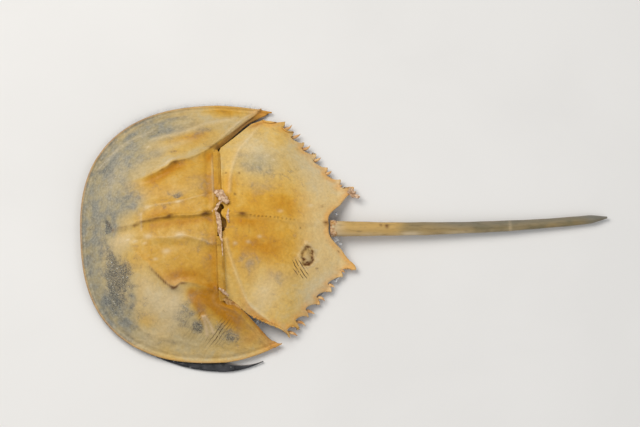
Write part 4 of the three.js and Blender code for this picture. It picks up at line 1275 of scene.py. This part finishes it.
def fringe():
    """The white fringe of fine growth on the right rim, with a few hairs round the rest."""
    rng = np.random.default_rng(7)
    right_start = 0.36
    u = np.concatenate([rng.beta(2.2, 1.6, 420) * 0.62 + right_start, rng.uniform(-0.98, 0.4, 120)])
    rim = rim_point(u)
    outward = unit(rim)
    roots = np.column_stack([rim - 0.1 * outward, rng.uniform(1.3, 1.9, len(u))])
    headings = np.column_stack([outward, rng.uniform(-0.35, 0.35, len(u))])
    headings[:, 0] += 0.35 + rng.normal(0, 0.3, len(u))
    lengths = np.where(u > right_start, rng.gamma(3.0, 0.42, len(u)), rng.gamma(2.0, 0.2, len(u)))
    on_rim = strands(fore(roots), turned(headings, FORE_YAW, 0), np.clip(lengths, 0.3, 2.7), 0.035, 8)

    count = 110
    s = rng.beta(1.1, 2.6, count) * 0.45
    side = np.where(rng.uniform(size=count) < 0.72, 1, -1)
    roots = tail_line(s, TAIL_SAG)
    roots[:, 1] += side * TAIL_WIDTH * (1 - TAIL_TAPER * s) / 2 * 0.96
    headings = np.column_stack([rng.normal(0.2, 0.5, count), side, rng.uniform(-0.2, 0.5, count)])
    on_tail = strands(tail(roots), headings, np.clip(rng.gamma(2.5, 0.35, count), 0.2, 1.8), 0.03, 9)

    count = 150
    k = rng.integers(0, TOOTH_COUNT, count)
    side = rng.choice([1, -1], count)
    roots = np.array([[*tooth_root(i), BODY_EDGE - 0.4] for i in k])
    roots += rng.normal(0, 0.35, (count, 3)) * [1, 1, 0.3]
    roots[:, 1] *= side
    ahead, aside = rng.normal(0.8, 0.3, count), side * rng.normal(0.8, 0.3, count)
    headings = np.column_stack([ahead, aside, rng.normal(0, 0.25, count)])
    on_teeth = strands(hind(roots), headings, np.clip(rng.gamma(2.5, 0.3, count), 0.2, 1.6), 0.03, 10)
    vertices, faces = joined([on_rim, on_tail, on_teeth])
    make_piece("rim_hairs", vertices, faces, HAIR)


def scrap(centre, size, turn, z, seed, tilt=0.0, thickness=0.07):
    """A torn patch of dry film about its centre, curled and ragged."""
    u, v = grid(18, 14, v=(-1, 1))
    ragged = 1 + 0.4 * rough(u * 2 + seed, v * 2, 1.0, seed)
    x = size[0] / 2 * u * np.sqrt(1 - v * v / 2) * ragged
    y = size[1] / 2 * v * np.sqrt(1 - u * u / 2) * ragged
    c, s = math.cos(math.radians(turn)), math.sin(math.radians(turn))
    lift = tilt * y + 0.22 * rough(x, y, 1.0, seed + 3) + 0.1 * (u * u + v * v)
    patch = np.dstack([centre[0] - x * s - y * c, centre[1] + x * c - y * s, np.maximum(z + lift, 0.25)])
    return closed_shell(patch, thickness, bead=0.02)[:2]


# Each scrap: its centre, size, turn in degrees, height, seed and perhaps tilt and thickness.
FILMS = [
    ((11.4, -31.0), (3.6, 1.5), -48, 3.4, 501, 0.3), ((9.6, -29.2), (2.4, 1.0), -44, 4.6, 502, 0.2),
    ((37.0, -16.2), (2.6, 1.7), -62, 1.6, 503), ((31.6, -21.4), (2.4, 1.2), -58, 1.5, 504),
    ((37.4, -3.9), (1.7, 1.6), 20, 3.4, 505, 0.2), ((38.6, -5.2), (1.2, 1.0), 40, 2.8, 506),
    ((38.8, -14.4), (1.5, 1.3), -80, 1.5, 507), ((21.9, 33.8), (1.2, 0.8), 30, 1.7, 509),
    ((30.9, 25.2), (1.1, 0.7), 50, 1.6, 510), ((16.8, 35.0), (1.5, 0.7), -10, 2.6, 511),
    ((37.6, 4.6), (1.2, 0.9), 60, 3.0, 512),
]
FLAKES = [
    ((42.9, 11.3), (3.4, 2.3), 25, 2.6, 521, 0.25, 0.16), ((44.2, 10.4), (2.0, 1.1), 60, 2.6, 522, 0.2, 0.14),
]


def scraps():
    """Shreds of clear film on the teeth, in the tail notch and in the left cleft, and one thicker flake."""
    vertices, faces = joined([scrap(*film) for film in FILMS])
    make_piece("film_scraps", hind(vertices), faces, SCRAP)
    vertices, faces = joined([scrap(*flake) for flake in FLAKES])
    masks = skin_masks(vertices, 0.05, 0.5, 523, 0.7)
    make_piece("cuticle_flake", hind(vertices), faces, MEMBRANE, masks=masks)


hinge_fold()
hinge_shreds()
socket_skin()
underside()
belly()
fringe()
scraps()


# ---- floor, light and camera ----

LAMPS = [
    ("key", (-0.35, 0.25, 0.62), 0.5, 4.6, (1.0, 0.98, 0.95)),
    ("fill", (0.45, -0.35, 0.55), 0.6, 1.8, (0.95, 0.97, 1.0)),
]
ROOM_COLOUR, ROOM_STRENGTH = (0.93, 0.95, 1.0, 1), 0.34


def studio():
    bpy.ops.mesh.primitive_plane_add(size=6, location=(0, 0, -0.0002))
    floor = bpy.context.object
    floor.name = "floor"
    paper = plain_material("pale_floor", linear(226, 224, 220), linear(223, 221, 217), 0.9, 60, 0.0)
    floor.data.materials.append(paper)
    floor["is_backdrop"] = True
    world = bpy.data.worlds.new("pale_room")
    world.use_nodes = True
    background = world.node_tree.nodes["Background"].inputs
    background[0].default_value, background[1].default_value = ROOM_COLOUR, ROOM_STRENGTH
    bpy.context.scene.world = world
    for name, place, size, power, colour in LAMPS:
        light = bpy.data.lights.new(name, "AREA")
        light.size, light.energy, light.color = size, power, colour
        lamp = linked(name, light)
        lamp.location = place
        lamp.rotation_euler = (-Vector(place)).to_track_quat("-Z", "Y").to_euler()


def camera():
    """A long lens above the front, looking down at the middle of the view."""
    elevation, lens, view_width = math.radians(75.5), 400.0, 204.8
    target = (np.array([32.3, 6.75, 0]) + SHIFT) * MM
    made = bpy.data.cameras.new("camera")
    made.lens, made.sensor_width = lens, 36.0
    distance = view_width * MM * lens / made.sensor_width
    eye = linked("camera", made)
    eye.location = Vector(target) + Vector((0, -math.cos(elevation), math.sin(elevation))) * distance
    eye.rotation_euler = (math.pi / 2 - elevation, 0, 0)
    bpy.context.scene.camera = eye


studio()
camera()
bpy.context.scene.view_settings.view_transform = "Standard"

boxes = {"cad": [list(corner) for corner in CAD_BOX], "visual": [list(corner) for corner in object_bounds()]}
